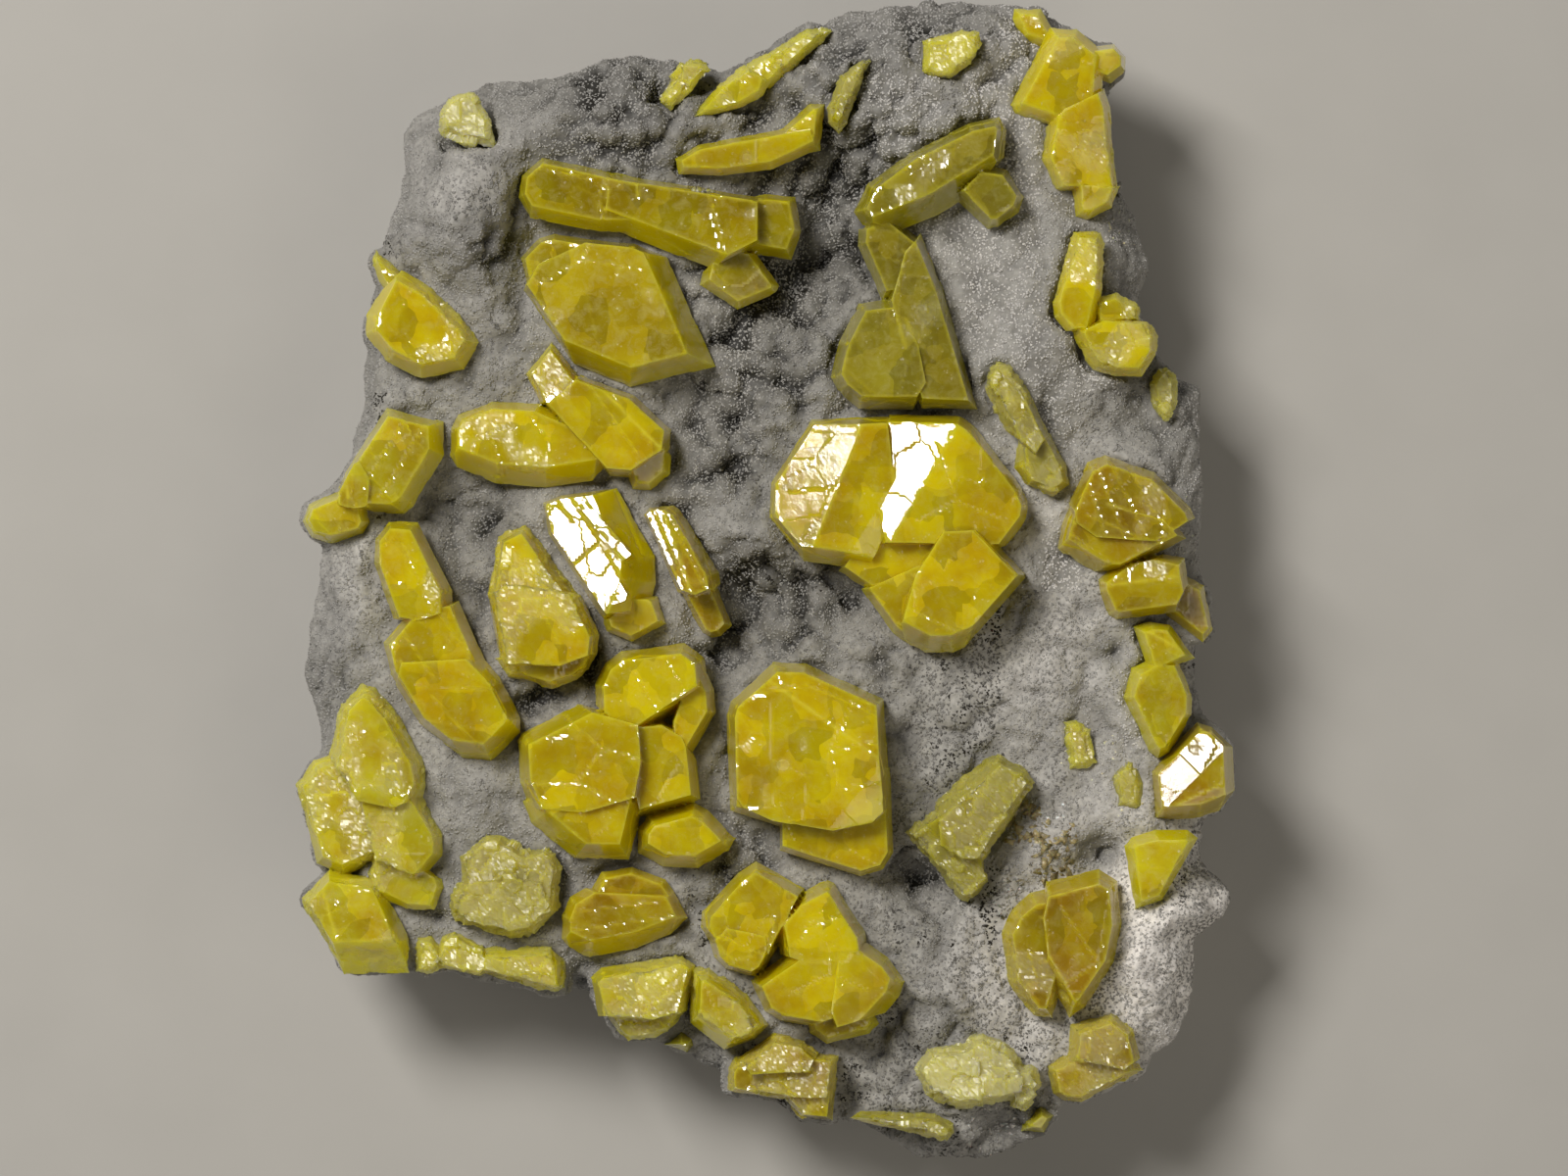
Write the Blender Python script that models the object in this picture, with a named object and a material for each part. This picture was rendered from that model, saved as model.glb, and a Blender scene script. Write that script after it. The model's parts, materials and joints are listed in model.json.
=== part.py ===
"""A cabinet specimen of native sulfur: golden crystals in a slab of rock under a drusy crust.

The slab lies on its flat sawn back, with the crystals on top. X runs to the right and Y up the
slab as it is seen from above, the origin is on the flat back, and every length below is in mm.
"""
import math

import bmesh
import bpy
from mathutils import Vector, noise
from mathutils.geometry import convex_hull_2d, delaunay_2d_cdt

MM = 0.001                # the model is drawn in millimetres and stored in metres
GAP = 0.3                 # clear space between a crystal and the rock it sits in

# The slab of rock
ROCK_LEVEL = 27.0         # height of the crusted face over the flat back
ROCK_CELL = 4.2           # spacing of the points that carry the crusted face
RIM_WIDTH = 7.0           # the face rolls down to the broken sides over this width
RIM_DROP = 6.0
LUMP_SPACING = 7.0        # the crust is botryoidal, with domes about this far apart
LUMP_HEIGHT = 1.5
SIDE_ROUGHNESS = 2.4      # how far the broken sides stray from their even slope
SIDE_RAGGEDNESS = 2.0     # how far their ledges rise and fall
SHALLOWEST = 0.5          # a socket is at least this deep where the crust falls away
SOCKET_STEP = 6.0         # a longer side of a socket is split into steps of about this
SPREAD = 78.0             # half the width of the square that the crust's points are spread over

# Height and spread of each broken side, as a share of the outline, from the back up to the rim
SIDE_RINGS = ((0.0, 0.89), (4.0, 0.935), (7.5, 0.95), (10.5, 0.985))

OUTLINE = (
    (-46.5, 59), (-41, 63), (-35, 65.5), (-27.5, 65.5), (-20, 68.3), (-14, 68.5), (-5.6, 66.2),
    (1.2, 69.5), (10, 74), (22.5, 75.5), (32.5, 75), (41, 71.8), (44.8, 68), (43.8, 62),
    (45.6, 52.5), (49.5, 41.2), (48, 37), (50, 31), (52, 28), (56.3, 25.8), (56.3, 15), (56, 5),
    (56.6, -1), (55.6, -9), (56, -17), (57.2, -24), (56.2, -33), (57, -36), (60, -39),
    (59.4, -42.5), (55, -45.6), (55.3, -52.5), (52.5, -58.7), (48, -62), (41, -64.6),
    (37, -68.6), (33, -72), (27.5, -73.7), (20, -73.1), (10, -68.4), (4, -65.5), (-4, -62.6),
    (-8.5, -61.5), (-11, -58), (-20, -52.5), (-31, -50), (-42, -48.6), (-52, -47.6),
    (-56, -42), (-57.2, -34), (-57, -26), (-56.9, -18), (-59.4, -11), (-58, -2.5),
    (-57, 6), (-54, 14), (-51.6, 24), (-50.8, 33), (-49.5, 43), (-46.5, 51),
)

# Broad swells and hollows of the crusted face: x, y, radius, height
SWELLS = (
    (-39, 51, 9, 7), (-36, 44, 6, 4), (-20, 61, 12, 4), (21, 61, 14, 5), (35, 34, 16, 5),
    (35, 2, 15, 3), (22, -17, 16, 1), (22, -50, 10, 2), (50, -45, 9, 3), (-54, 0, 9, 2),
    (-36, -25, 8, 2), (-1, 6, 5.5, 5), (-3.5, 29, 3.5, 3), (34, -32, 4, 2.5), (42.4, -30.7, 2, 2.5),
    (-29, 43, 5, -6), (-30, 50, 3, -5), (10, 51, 7, -6), (7, 42, 6, -6), (-2.5, 32, 6, -4),
    (-9, 24, 4, -4), (-4, -2, 5, -7), (3, 0, 4, -4), (11, -1, 4, -5), (-5, -9, 4, -5),
    (-40, 10, 6, -6), (-38, -2, 4, -4), (-28, -14, 3, -5), (-9, -38, 3, -2), (1, -32, 3, -4),
    (20, -36, 4, -7), (12, -59, 5, -5), (48, 23, 3.5, -5), (38, 3, 3, -3), (43.3, -34, 2.5, -5),
    (-41.5, -42.5, 2, -4), (-24.5, -50, 2, -3), (3, 57, 3, -2), (46, 60, 3, -2),
)

DIRECTIONS = {
    "right": (1, 0), "top_right": (0.7, 0.7), "top": (0, 1), "top_left": (-0.7, 0.7),
    "left": (-1, 0), "bottom_left": (-0.7, -0.7), "bottom": (0, -1), "bottom_right": (0.7, -0.7),
}
BAND_MATCH = 0.86         # a side takes a band's width when it faces that way within about 30 degrees
JOINED_DEPTH = 0.3        # a side counts as joined when it lies this far within its neighbour
JOINED_BAND = 0.4         # and it then has a steep step in place of a sloping band

# Colours of the crystals and the rock, as linear values
GOLD = (0.60, 0.42, 0.02)
AMBER = (0.50, 0.28, 0.01)
LEMON = (0.66, 0.56, 0.06)
OLIVE = (0.34, 0.30, 0.04)
CREAM = (0.70, 0.66, 0.34)
ROCK_GREY = (0.36, 0.33, 0.32)

SOCKETS = []              # each crystal that sits in the rock, with the floor of its socket


# ---------------------------------------------------------------- the crusted face of the rock

def distance_to_outline(x, y):
    """Distance from a point to the nearest side of the slab's outline."""
    point = Vector((x, y))
    nearest = 1000.0
    for start, end in zip(OUTLINE, OUTLINE[1:] + OUTLINE[:1]):
        origin = Vector(start)
        run = Vector(end) - origin
        share = max(0.0, min(1.0, (point - origin).dot(run) / run.length_squared))
        nearest = min(nearest, (point - origin - run * share).length)
    return nearest


def ground(x, y):
    """Height of the face without its small domes, which is what the crystals are set by."""
    height = ROCK_LEVEL
    for swell_x, swell_y, radius, rise in SWELLS:
        away = ((x - swell_x) ** 2 + (y - swell_y) ** 2) / radius ** 2
        height += rise * math.exp(-away)
    edge = min(1.0, distance_to_outline(x, y) / RIM_WIDTH)
    return height - RIM_DROP * (1.0 - edge) ** 2


def domes(x, y):
    """The botryoidal lumps of the crust, a dome round each point of a scattered pattern."""
    distances, _ = noise.voronoi(Vector((x, y, 0.0)) / LUMP_SPACING)
    return LUMP_HEIGHT * (1.0 - 2.2 * distances[0] ** 2)


# ---------------------------------------------------------------- crystals

def grain(outline, rise, inset=2.0, lean=(0, 0), waist=0.8, tuck=1.4, depth=6.0, bands=None,
          facets=()):
    """One crystal: its outline from above, and the height of its top face over the rock.

    The rock's level is taken halfway from the crystal's middle up to its highest corner, so that
    no side of it is buried. inset is how far the top face stands back from the outline, and bands
    gives other widths by the way a side faces. lean is the azimuth and angle that the top face
    leans to. Each facet is one more face: azimuth, angle and how far it starts from the middle.
    """
    order = convex_hull_2d([Vector(point) for point in outline])
    corners = [Vector(outline[index]) for index in order]
    area = sum(a.x * b.y - b.x * a.y for a, b in zip(corners, corners[1:] + corners[:1]))
    if area < 0:
        corners.reverse()
    middle = sum(corners, Vector((0, 0))) / len(corners)
    level = (ground(*middle) + max(ground(*corner) for corner in corners)) / 2
    return {
        "corners": corners, "middle": middle, "level": level, "rise": rise,
        "inset": inset, "lean": lean, "waist": waist, "tuck": tuck, "depth": depth,
        "bands": bands or {}, "facets": facets, "joined": set(),
    }


def leaning(azimuth, angle):
    """A unit vector that leans from straight up by an angle, towards an azimuth."""
    turn, tilt = math.radians(azimuth), math.radians(angle)
    return Vector((math.cos(turn) * math.sin(tilt), math.sin(turn) * math.sin(tilt), math.cos(tilt)))


def band_width(form, outward):
    """Width of the sloping band along one side, by the way that side faces."""
    for name, width in form["bands"].items():
        if outward.dot(Vector(DIRECTIONS[name]).normalized()) > BAND_MATCH:
            return width
    return form["inset"]


def clear_of(point, form):
    """How far a point lies outside a crystal's outline; it is negative inside."""
    corners = form["corners"]
    away = -1000.0
    for start, end in zip(corners, corners[1:] + corners[:1]):
        run = (end - start).normalized()
        away = max(away, (point - start).dot(Vector((run.y, -run.x))))
    return away


def mark_joined_sides(grains):
    """Note the sides of each crystal that lie within another crystal of its group."""
    for form in grains:
        corners = form["corners"]
        for number, (start, end) in enumerate(zip(corners, corners[1:] + corners[:1])):
            halfway = (start + end) / 2
            if any(clear_of(halfway, other) < -JOINED_DEPTH for other in grains if other is not form):
                form["joined"].add(number)


def foot_of(form):
    """Height of the hidden foot of a crystal."""
    return form["level"] + form["waist"] - form["depth"]


def faces_of(form):
    """Every face of a crystal, as a point on it and its outward direction."""
    waist = form["level"] + form["waist"]
    top = form["level"] + form["rise"]
    foot = foot_of(form)
    middle = form["middle"]
    corners = form["corners"]
    faces = [(Vector((*middle, top)), leaning(*form["lean"])),
             (Vector((*middle, foot)), Vector((0, 0, -1)))]
    for number, (start, end) in enumerate(zip(corners, corners[1:] + corners[:1])):
        run = (end - start).normalized()
        outward = Vector((run.y, -run.x))
        width = JOINED_BAND if number in form["joined"] else band_width(form, outward)
        on_edge = Vector((*start, waist))
        faces.append((on_edge, Vector((*(outward * (top - waist)), width)).normalized()))
        faces.append((on_edge, Vector((*(outward * form["depth"]), -form["tuck"])).normalized()))
    for azimuth, angle, reach in form["facets"]:
        turn = math.radians(azimuth)
        start = middle + reach * Vector((math.cos(turn), math.sin(turn)))
        faces.append((Vector((*start, top)), leaning(azimuth, angle)))
    return faces


def cut_block(faces):
    """Cut a block down to a crystal, one flat face at a time."""
    block = bmesh.new()
    bmesh.ops.create_cube(block, size=400.0)
    for point, outward in faces:
        everything = block.verts[:] + block.edges[:] + block.faces[:]
        result = bmesh.ops.bisect_plane(block, geom=everything, plane_co=point, plane_no=outward,
                                        clear_outer=True, dist=0.0005)
        rim = [edge for edge in result["geom_cut"] if isinstance(edge, bmesh.types.BMEdge)]
        if rim:
            bmesh.ops.contextual_create(block, geom=rim)
    bmesh.ops.recalc_face_normals(block, faces=block.faces)
    return block


def add_object(name, shape, collection):
    """Store a shape drawn in millimetres as an object in metres."""
    bmesh.ops.scale(shape, vec=(MM, MM, MM), verts=shape.verts)
    mesh = bpy.data.meshes.new(name)
    shape.to_mesh(mesh)
    shape.free()
    thing = bpy.data.objects.new(name, mesh)
    collection.objects.link(thing)
    return thing


def new_collection(name):
    """A collection in the scene, which a Boolean can work with as a whole."""
    collection = bpy.data.collections.new(name)
    bpy.context.scene.collection.children.link(collection)
    return collection


def combine(thing, operation, collection):
    """Join or cut an object with every object of a collection, and keep the result."""
    modifier = thing.modifiers.new(operation.lower(), 'BOOLEAN')
    modifier.operation = operation
    modifier.solver = 'EXACT'
    modifier.operand_type = 'COLLECTION'
    modifier.collection = collection
    depsgraph = bpy.context.evaluated_depsgraph_get()
    result = bpy.data.meshes.new_from_object(thing.evaluated_get(depsgraph))
    thing.modifiers.clear()
    old = thing.data
    thing.data = result
    bpy.data.meshes.remove(old)


def discard(collection):
    """Delete a collection with the helper objects in it."""
    for thing in list(collection.objects):
        bpy.data.objects.remove(thing)
    bpy.data.collections.remove(collection)


def tidy(thing):
    """Merge the slivers that a Boolean leaves, and keep the one main body."""
    shape = bmesh.new()
    shape.from_mesh(thing.data)
    bmesh.ops.remove_doubles(shape, verts=shape.verts, dist=0.02 * MM)
    bmesh.ops.dissolve_degenerate(shape, edges=shape.edges, dist=0.02 * MM)
    islands = []
    waiting = set(shape.faces)
    while waiting:
        found = [waiting.pop()]
        for face in found:
            for edge in face.edges:
                for other in edge.link_faces:
                    if other in waiting:
                        waiting.remove(other)
                        found.append(other)
        islands.append(found)
    islands.sort(key=len)
    crumbs = [face for island in islands[:-1] for face in island]
    bmesh.ops.delete(shape, geom=crumbs, context='FACES')
    shape.to_mesh(thing.data)
    shape.free()


def finish(thing, colour, roughness, transmission):
    """Give a piece its own material."""
    material = bpy.data.materials.new(thing.name)
    material.use_nodes = True
    surface = material.node_tree.nodes["Principled BSDF"]
    surface.inputs["Base Color"].default_value = (*colour, 1)
    surface.inputs["Roughness"].default_value = roughness
    surface.inputs["Transmission Weight"].default_value = transmission
    thing.data.materials.clear()
    thing.data.materials.append(material)


def crystal(name, colour, grains, roughness=0.12, transmission=0.4):
    """A crystal, or a group grown into each other, and the sockets that it needs in the rock."""
    model = bpy.context.scene.collection
    mark_joined_sides(grains)
    first, *rest = grains
    body = add_object(name, cut_block(faces_of(first)), model)
    if rest:
        others = new_collection(name + "_grains")
        for form in rest:
            add_object(name + "_grain", cut_block(faces_of(form)), others)
        combine(body, 'UNION', others)
        discard(others)
        tidy(body)
    floor = min(foot_of(form) for form in grains) - GAP
    SOCKETS.extend((form, floor) for form in grains)
    finish(body, colour, roughness, transmission)


# ---------------------------------------------------------------- the slab

def footprint(form):
    """The outline of a crystal's socket: its corners moved out by the gap, and long sides split."""
    corners = form["corners"]
    moved = []
    for before, corner, after in zip(corners[-1:] + corners[:-1], corners, corners[1:] + corners[:1]):
        into = (corner - before).normalized()
        out = (after - corner).normalized()
        mitre = (Vector((into.y, -into.x)) + Vector((out.y, -out.x))).normalized()
        moved.append(corner + mitre * GAP / mitre.dot(Vector((out.y, -out.x))))
    points = []
    for start, end in zip(moved, moved[1:] + moved[:1]):
        parts = max(1, round((end - start).length / SOCKET_STEP))
        points += [start.lerp(end, part / parts) for part in range(parts)]
    return points


def face_points():
    """Points spread over the open crust, staggered and jittered, clear of crystals and rim."""
    points = []
    rows = round(2 * SPREAD / (ROCK_CELL * 0.87))
    for row in range(rows):
        for column in range(round(2 * SPREAD / ROCK_CELL)):
            x = -SPREAD + (column + 0.5 * (row % 2)) * ROCK_CELL
            y = -SPREAD + row * ROCK_CELL * 0.87
            point = Vector((x, y)) + noise.noise_vector(Vector((x, y, 0)) * 0.7).xy * ROCK_CELL * 0.3
            if distance_to_outline(*point) < 0.5 * ROCK_CELL:
                continue
            if min(clear_of(point, form) for form, _ in SOCKETS) > 0.4 * ROCK_CELL:
                points.append(point)
    return points


def patches():
    """Split the slab's plan into triangles, each open crust or the floor of a socket.

    Returns the plan's points, its triangles, the floor height under each triangle, with None
    where the crust is open, and the points that are the outline's own corners.
    """
    points = [Vector(point) for point in reversed(OUTLINE)]
    loops = [list(range(len(points)))]
    for form, _ in SOCKETS:
        start = len(points)
        points += footprint(form)
        loops.append(list(range(start, len(points))))
    points += face_points()
    plan, _, triangles, given, _, sources = delaunay_2d_cdt(points, [], loops, 1, 0.01)
    kept, floors = [], []
    for triangle, source in zip(triangles, sources):
        if 0 in source:
            below = [SOCKETS[loop - 1][1] for loop in source if loop]
            kept.append(triangle)
            floors.append(min(below) if below else None)
    rim_corners = {index for index, origins in enumerate(given)
                   if any(origin < len(OUTLINE) for origin in origins)}
    return plan, kept, floors, rim_corners


def slab_shape():
    """The slab as one closed shape: crust, sockets and walls, broken sides and flat back."""
    plan, triangles, floors, rim_corners = patches()
    shape = bmesh.new()
    levels = [{} for _ in plan]

    def corner(index, floor):
        """The corner of a patch over one point of the plan, made the first time it is asked for."""
        x, y = plan[index]
        height = ground(x, y) + domes(x, y)
        if floor is not None:
            height = min(floor, height - SHALLOWEST)
        if height not in levels[index]:
            levels[index][height] = shape.verts.new((x, y, height))
        return levels[index][height]

    def drop(index, upper, lower):
        """The corners over one point from one height down or up to another, in order."""
        high, low = corner(index, upper), corner(index, lower)
        between = [vert for vert in levels[index].values()
                   if min(high.co.z, low.co.z) < vert.co.z < max(high.co.z, low.co.z)]
        between.sort(key=lambda vert: abs(vert.co.z - high.co.z))
        return [high, *between, low] if high is not low else [high]

    sides = {}
    for triangle, floor in zip(triangles, floors):
        shape.faces.new([corner(index, floor) for index in triangle])
        for start, end in zip(triangle, triangle[1:] + triangle[:1]):
            sides[(start, end)] = floor
    for (start, end), floor in sides.items():
        other = sides.get((end, start), floor)
        if start < end and other != floor:
            shape.faces.new(drop(start, floor, other) + drop(end, other, floor))

    rim = walk_rim(sides)
    top = [drop(index, floor, next_floor) for index, floor, next_floor in rim]
    corners = [place for place, (index, _, _) in enumerate(rim) if index in rim_corners]
    close_sides(shape, [plan[rim[place][0]] for place in corners], corners, top)
    bmesh.ops.recalc_face_normals(shape, faces=shape.faces)
    bmesh.ops.dissolve_limit(shape, angle_limit=math.radians(0.4), verts=shape.verts,
                             edges=shape.edges)
    return shape


def walk_rim(sides):
    """The slab's rim in order: each point, and the floors of the patches before and after it."""
    following = {start: end for start, end in sides if (end, start) not in sides}
    first = next(iter(following))
    rim = []
    before, index = None, first
    while before is None or index != first:
        after = following[index]
        if before is not None:
            rim.append((index, sides[(before, index)], sides[(index, after)]))
        before, index = index, after
    rim.append((first, sides[(before, first)], sides[(first, following[first])]))
    return rim


def close_sides(shape, outline, corners, top):
    """Draw the broken sides down from the rim, ring by ring, and close the flat back."""
    rings = []
    for height, share in SIDE_RINGS:
        ring = []
        for x, y in outline:
            spot = Vector((x, y, height)) * 0.11
            spread = share + SIDE_ROUGHNESS / 60.0 * noise.noise(spot) * (height > 0)
            lift = SIDE_RAGGEDNESS * noise.noise(spot + Vector((9, 9, 9))) * (height > 0)
            ring.append(shape.verts.new((x * spread, y * spread, height + lift)))
        rings.append(ring)
    for number, place in enumerate(corners):
        after = (number + 1) % len(corners)
        for lower, upper in zip(rings, rings[1:]):
            shape.faces.new((lower[number], lower[after], upper[after], upper[number]))
        last = corners[after] if after else corners[0] + len(top)
        chain = [top[place][-1]]
        for middle in range(place + 1, last):
            chain += top[middle % len(top)]
        chain.append(top[last % len(top)][0])
        shape.faces.new([rings[-1][after], rings[-1][number]] + chain)
    shape.faces.new(rings[0])


def limestone_matrix():
    """The slab of rock, with its crusted face, a socket for each crystal and its broken sides."""
    slab = add_object("limestone_matrix", slab_shape(), bpy.context.scene.collection)
    finish(slab, ROCK_GREY, 0.8, 0.0)


# ---------------------------------------------------------------- the specimen

def upper_left():
    """The long prism, the square block and the small crystals round the raised tongue."""
    crystal("sulfur_upper_prism", GOLD, [
        grain([(-31.5, 50), (-30, 47.3), (-21, 45.4), (-16, 45.4), (-15.5, 52.4), (-28.5, 55.2),
               (-31.2, 52.8)], 5.5, 1.0, (250, 6), bands={"bottom": 1.5}),
        grain([(-21, 46.4), (-15.8, 45.2), (-8.6, 41.6), (-6.6, 40.8), (-0.5, 44), (-0.5, 50.1),
               (-15, 52.4), (-20, 52.4)],
              6.6, 1.0, (80, 5), bands={"bottom_left": 2.0, "bottom": 2.0}),
        grain([(-2.5, 43), (3.5, 42), (4.9, 45.8), (4, 50.3), (0, 50.8), (-2.5, 50)],
              5.6, 1.1, (20, 9)),
        grain([(-8.4, 38.9), (-3.5, 35.7), (1.5, 37.8), (1.9, 38.8), (-1, 43), (-5.4, 43.5),
               (-8, 40.6)], 4.5, 1.0, (300, 12)),
    ])
    crystal("sulfur_square_block", GOLD, [
        grain([(-31, 38.2), (-24.5, 28.7), (-17.2, 25.7), (-6.3, 28.4), (-12.4, 42.4),
               (-16.6, 44.2), (-22, 44.8), (-29, 41.5)],
              8.5, 0.9, (0, 0), bands={"right": 2.6, "bottom": 2.2, "bottom_left": 0.8}),
        grain([(-31.5, 42.4), (-30.6, 38.4), (-22, 39), (-21, 44.7), (-27, 45.6), (-29, 45)],
              6.4, 1.0, (200, 10)),
    ])
    crystal("sulfur_left_rim_crystal", GOLD, [
        grain([(-51.3, 32.5), (-48.5, 29), (-44, 26.7), (-38.5, 28), (-36.5, 31.5), (-37.5, 33.5),
               (-42.5, 38.5), (-46.5, 40.8), (-49.5, 37.8), (-51, 35)], 5.5, 1.6, (60, 5)),
        grain([(-50.7, 42), (-48.8, 37.5), (-46.5, 38), (-46.8, 41), (-50, 43.5)],
              3.6, 1.0, (180, 10)),
    ])
    crystal("sulfur_pale_crust", CREAM, [
        grain([(-42, 61), (-41.5, 58.2), (-39, 56.5), (-34.2, 56.2), (-34.8, 60), (-37, 63.6),
               (-40, 63)], 2.0, 1.0, (100, 6), waist=0.5),
    ])


def top_edge():
    """The blades and flakes that lie in the crust along the top."""
    crystal("sulfur_top_chip", LEMON, [
        grain([(-14, 62.5), (-12, 61), (-6.5, 66.4), (-8, 67.6), (-11, 67.6)], 2.4, 0.9, (60, 8)),
    ])
    crystal("sulfur_top_blade", LEMON, [
        grain([(-9.8, 59.9), (-3, 61.4), (0, 63), (0.8, 65), (-2.5, 67.2), (-6, 64.5)],
              3.2, 0.9, (250, 8)),
        grain([(-2.5, 65.2), (0.8, 64), (9, 71.5), (8, 72.2), (5.5, 72), (-2.5, 67.4)],
              3.0, 1.0, (120, 8)),
    ])
    crystal("sulfur_ridge_lath", GOLD, [
        grain([(-11.5, 55), (-11, 53), (-5, 52.8), (1, 53.5), (7, 56.2), (6, 59.6), (-8.5, 56.8)],
              4.4, 0.9, (260, 8)),
        grain([(2, 54.8), (7.2, 56), (7.9, 62.2), (5.8, 62.2), (1.8, 58.6)], 5.0, 1.0, (200, 8)),
    ])
    crystal("sulfur_ridge_blade", OLIVE, [
        grain([(8, 59.5), (9.5, 58), (10.8, 59.8), (13.8, 67.5), (12.5, 68), (9.5, 65.5),
               (7.8, 61.5)], 3.6, 1.0, (330, 8)),
    ])
    crystal("sulfur_flat_flake", LEMON, [
        grain([(20, 70), (20.2, 66), (21.5, 64.9), (23.5, 64.8), (26.5, 66.8), (28, 69.5),
               (27.5, 71), (25, 71.5)], 2.8, 0.9, (140, 7)),
    ])
    crystal("sulfur_upper_right_group", GOLD, [
        grain([(31.3, 61.8), (32, 60.6), (38, 58.8), (43, 62), (43.5, 66), (42.5, 69.5), (40, 71.6),
               (36.5, 71.8)], 4.6, 1.4, (300, 6)),
        grain([(31.8, 73), (33, 70.3), (36, 69), (37.5, 71), (35.5, 74.4), (32, 74.4)],
              3.0, 1.0, (200, 8)),
        grain([(40, 66.5), (44.5, 64.8), (46.5, 66.3), (46.5, 68.3), (45, 70), (41, 69.5)],
              7.2, 1.0, (340, 12)),
        grain([(35.2, 54.8), (37, 50.8), (45.3, 51), (44.3, 61.5), (43.5, 64), (38, 61.5),
               (36, 59)], 5.2, 1.2, (330, 7)),
        grain([(39.2, 52), (39.8, 47.5), (41.5, 47), (44.5, 48.7), (45.6, 51.5)],
              4.2, 0.9, (290, 12)),
    ])


def upper_right():
    """The olive group, and the crystals along the right rim."""
    crystal("sulfur_olive_group", OLIVE, [
        grain([(8.4, 27), (9.5, 25), (12, 22.9), (19, 22.8), (21, 26), (20, 31), (17.5, 36),
               (15.5, 37), (12, 36.5), (9.5, 31.5)], 8.4, 1.4, (190, 7), bands={"left": 1.4}),
        grain([(15.6, 36.5), (20, 22.9), (27.3, 22.8), (23, 38), (20, 45.5), (17.5, 43)],
              7.4, 1.2, (350, 8)),
        grain([(11.3, 48), (12.5, 46.3), (17, 45.5), (22, 47.5), (27, 50.5), (30.6, 55), (31, 58.5),
               (30, 60.2), (26, 59.3), (18.5, 55.6), (13, 51.5)],
              7.2, 1.4, (120, 5), bands={"bottom_right": 2.6}),
        grain([(24, 50), (28.5, 45.8), (30, 46), (32.5, 48), (33.2, 50), (31, 53.5), (28, 54)],
              5.6, 1.1, (310, 8)),
        grain([(11.9, 43.8), (15, 36.8), (17, 37.2), (18.8, 40.5), (19.6, 45), (17, 47), (12, 46)],
              6.6, 1.0, (230, 10)),
    ], transmission=0.6)
    crystal("sulfur_right_rim_pair", GOLD, [
        grain([(39.3, 32.6), (40.5, 29.5), (42, 27.8), (44.5, 27), (48.3, 26.9), (50.3, 30),
               (50.4, 32.2), (49.3, 34), (43, 34.5)], 5.0, 1.2, (270, 8)),
        grain([(36.7, 36.5), (37, 34.5), (38.5, 32.6), (42, 32.6), (43.2, 38), (43.6, 44),
               (43, 45.6), (39.3, 45.6)], 3.6, 1.0, (180, 6)),
        grain([(42.3, 33.8), (48.3, 34), (48, 36.3), (45, 37.9), (42.3, 37.2)], 3.2, 0.9, (60, 8)),
    ])
    crystal("sulfur_right_rim_chip", CREAM, [
        grain([(49.3, 26.3), (49.4, 24), (50.5, 21.6), (52, 21.2), (53.3, 24), (53, 27),
               (51.8, 28.3), (50.6, 28.4)], 2.6, 0.9, (30, 8)),
    ])
    crystal("sulfur_frosted_lath", CREAM, [
        grain([(27.9, 25.5), (30.7, 20), (34.5, 16.5), (36.5, 19.5), (33, 27), (31.5, 28.8),
               (29.5, 29), (28.2, 27.8)], 5.4, 1.1, (50, 8)),
        grain([(31.9, 15.4), (33.4, 13), (36.8, 11.6), (39.1, 13.2), (38.6, 16), (36.5, 19.8),
               (33.5, 21), (32.4, 19.5)], 4.6, 1.0, (290, 10)),
    ], roughness=0.3)
    crystal("sulfur_striped_block", AMBER, [
        grain([(38.8, 11), (39.2, 8), (42, 6), (50, 5.5), (55.2, 8.9), (54.6, 10.3), (50, 14.9),
               (43.6, 17.1), (41.3, 16.1)], 7.0, 1.4, (60, 9), bands={"left": 1.0}),
        grain([(37.3, 4.9), (42.2, 2), (45.5, 2.1), (54.2, 6.3), (52, 9), (40, 12), (38.2, 9)],
              6.4, 1.0, (250, 8), bands={"bottom_left": 1.9}),
        grain([(42.5, 1.2), (42.6, -0.5), (44, -3.5), (45, -4.1), (52.5, -3.2), (54.3, 0.6),
               (53.8, 3.9), (51, 4.4), (45, 3)], 5.6, 1.1, (230, 6), facets=((115, 15, 0.8),)),
        grain([(51.5, -3.5), (56.3, -7), (57.7, -5.3), (56.5, 0.4), (54.2, 1.5), (51.5, 0)],
              4.0, 0.9, (320, 8)),
    ])


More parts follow.
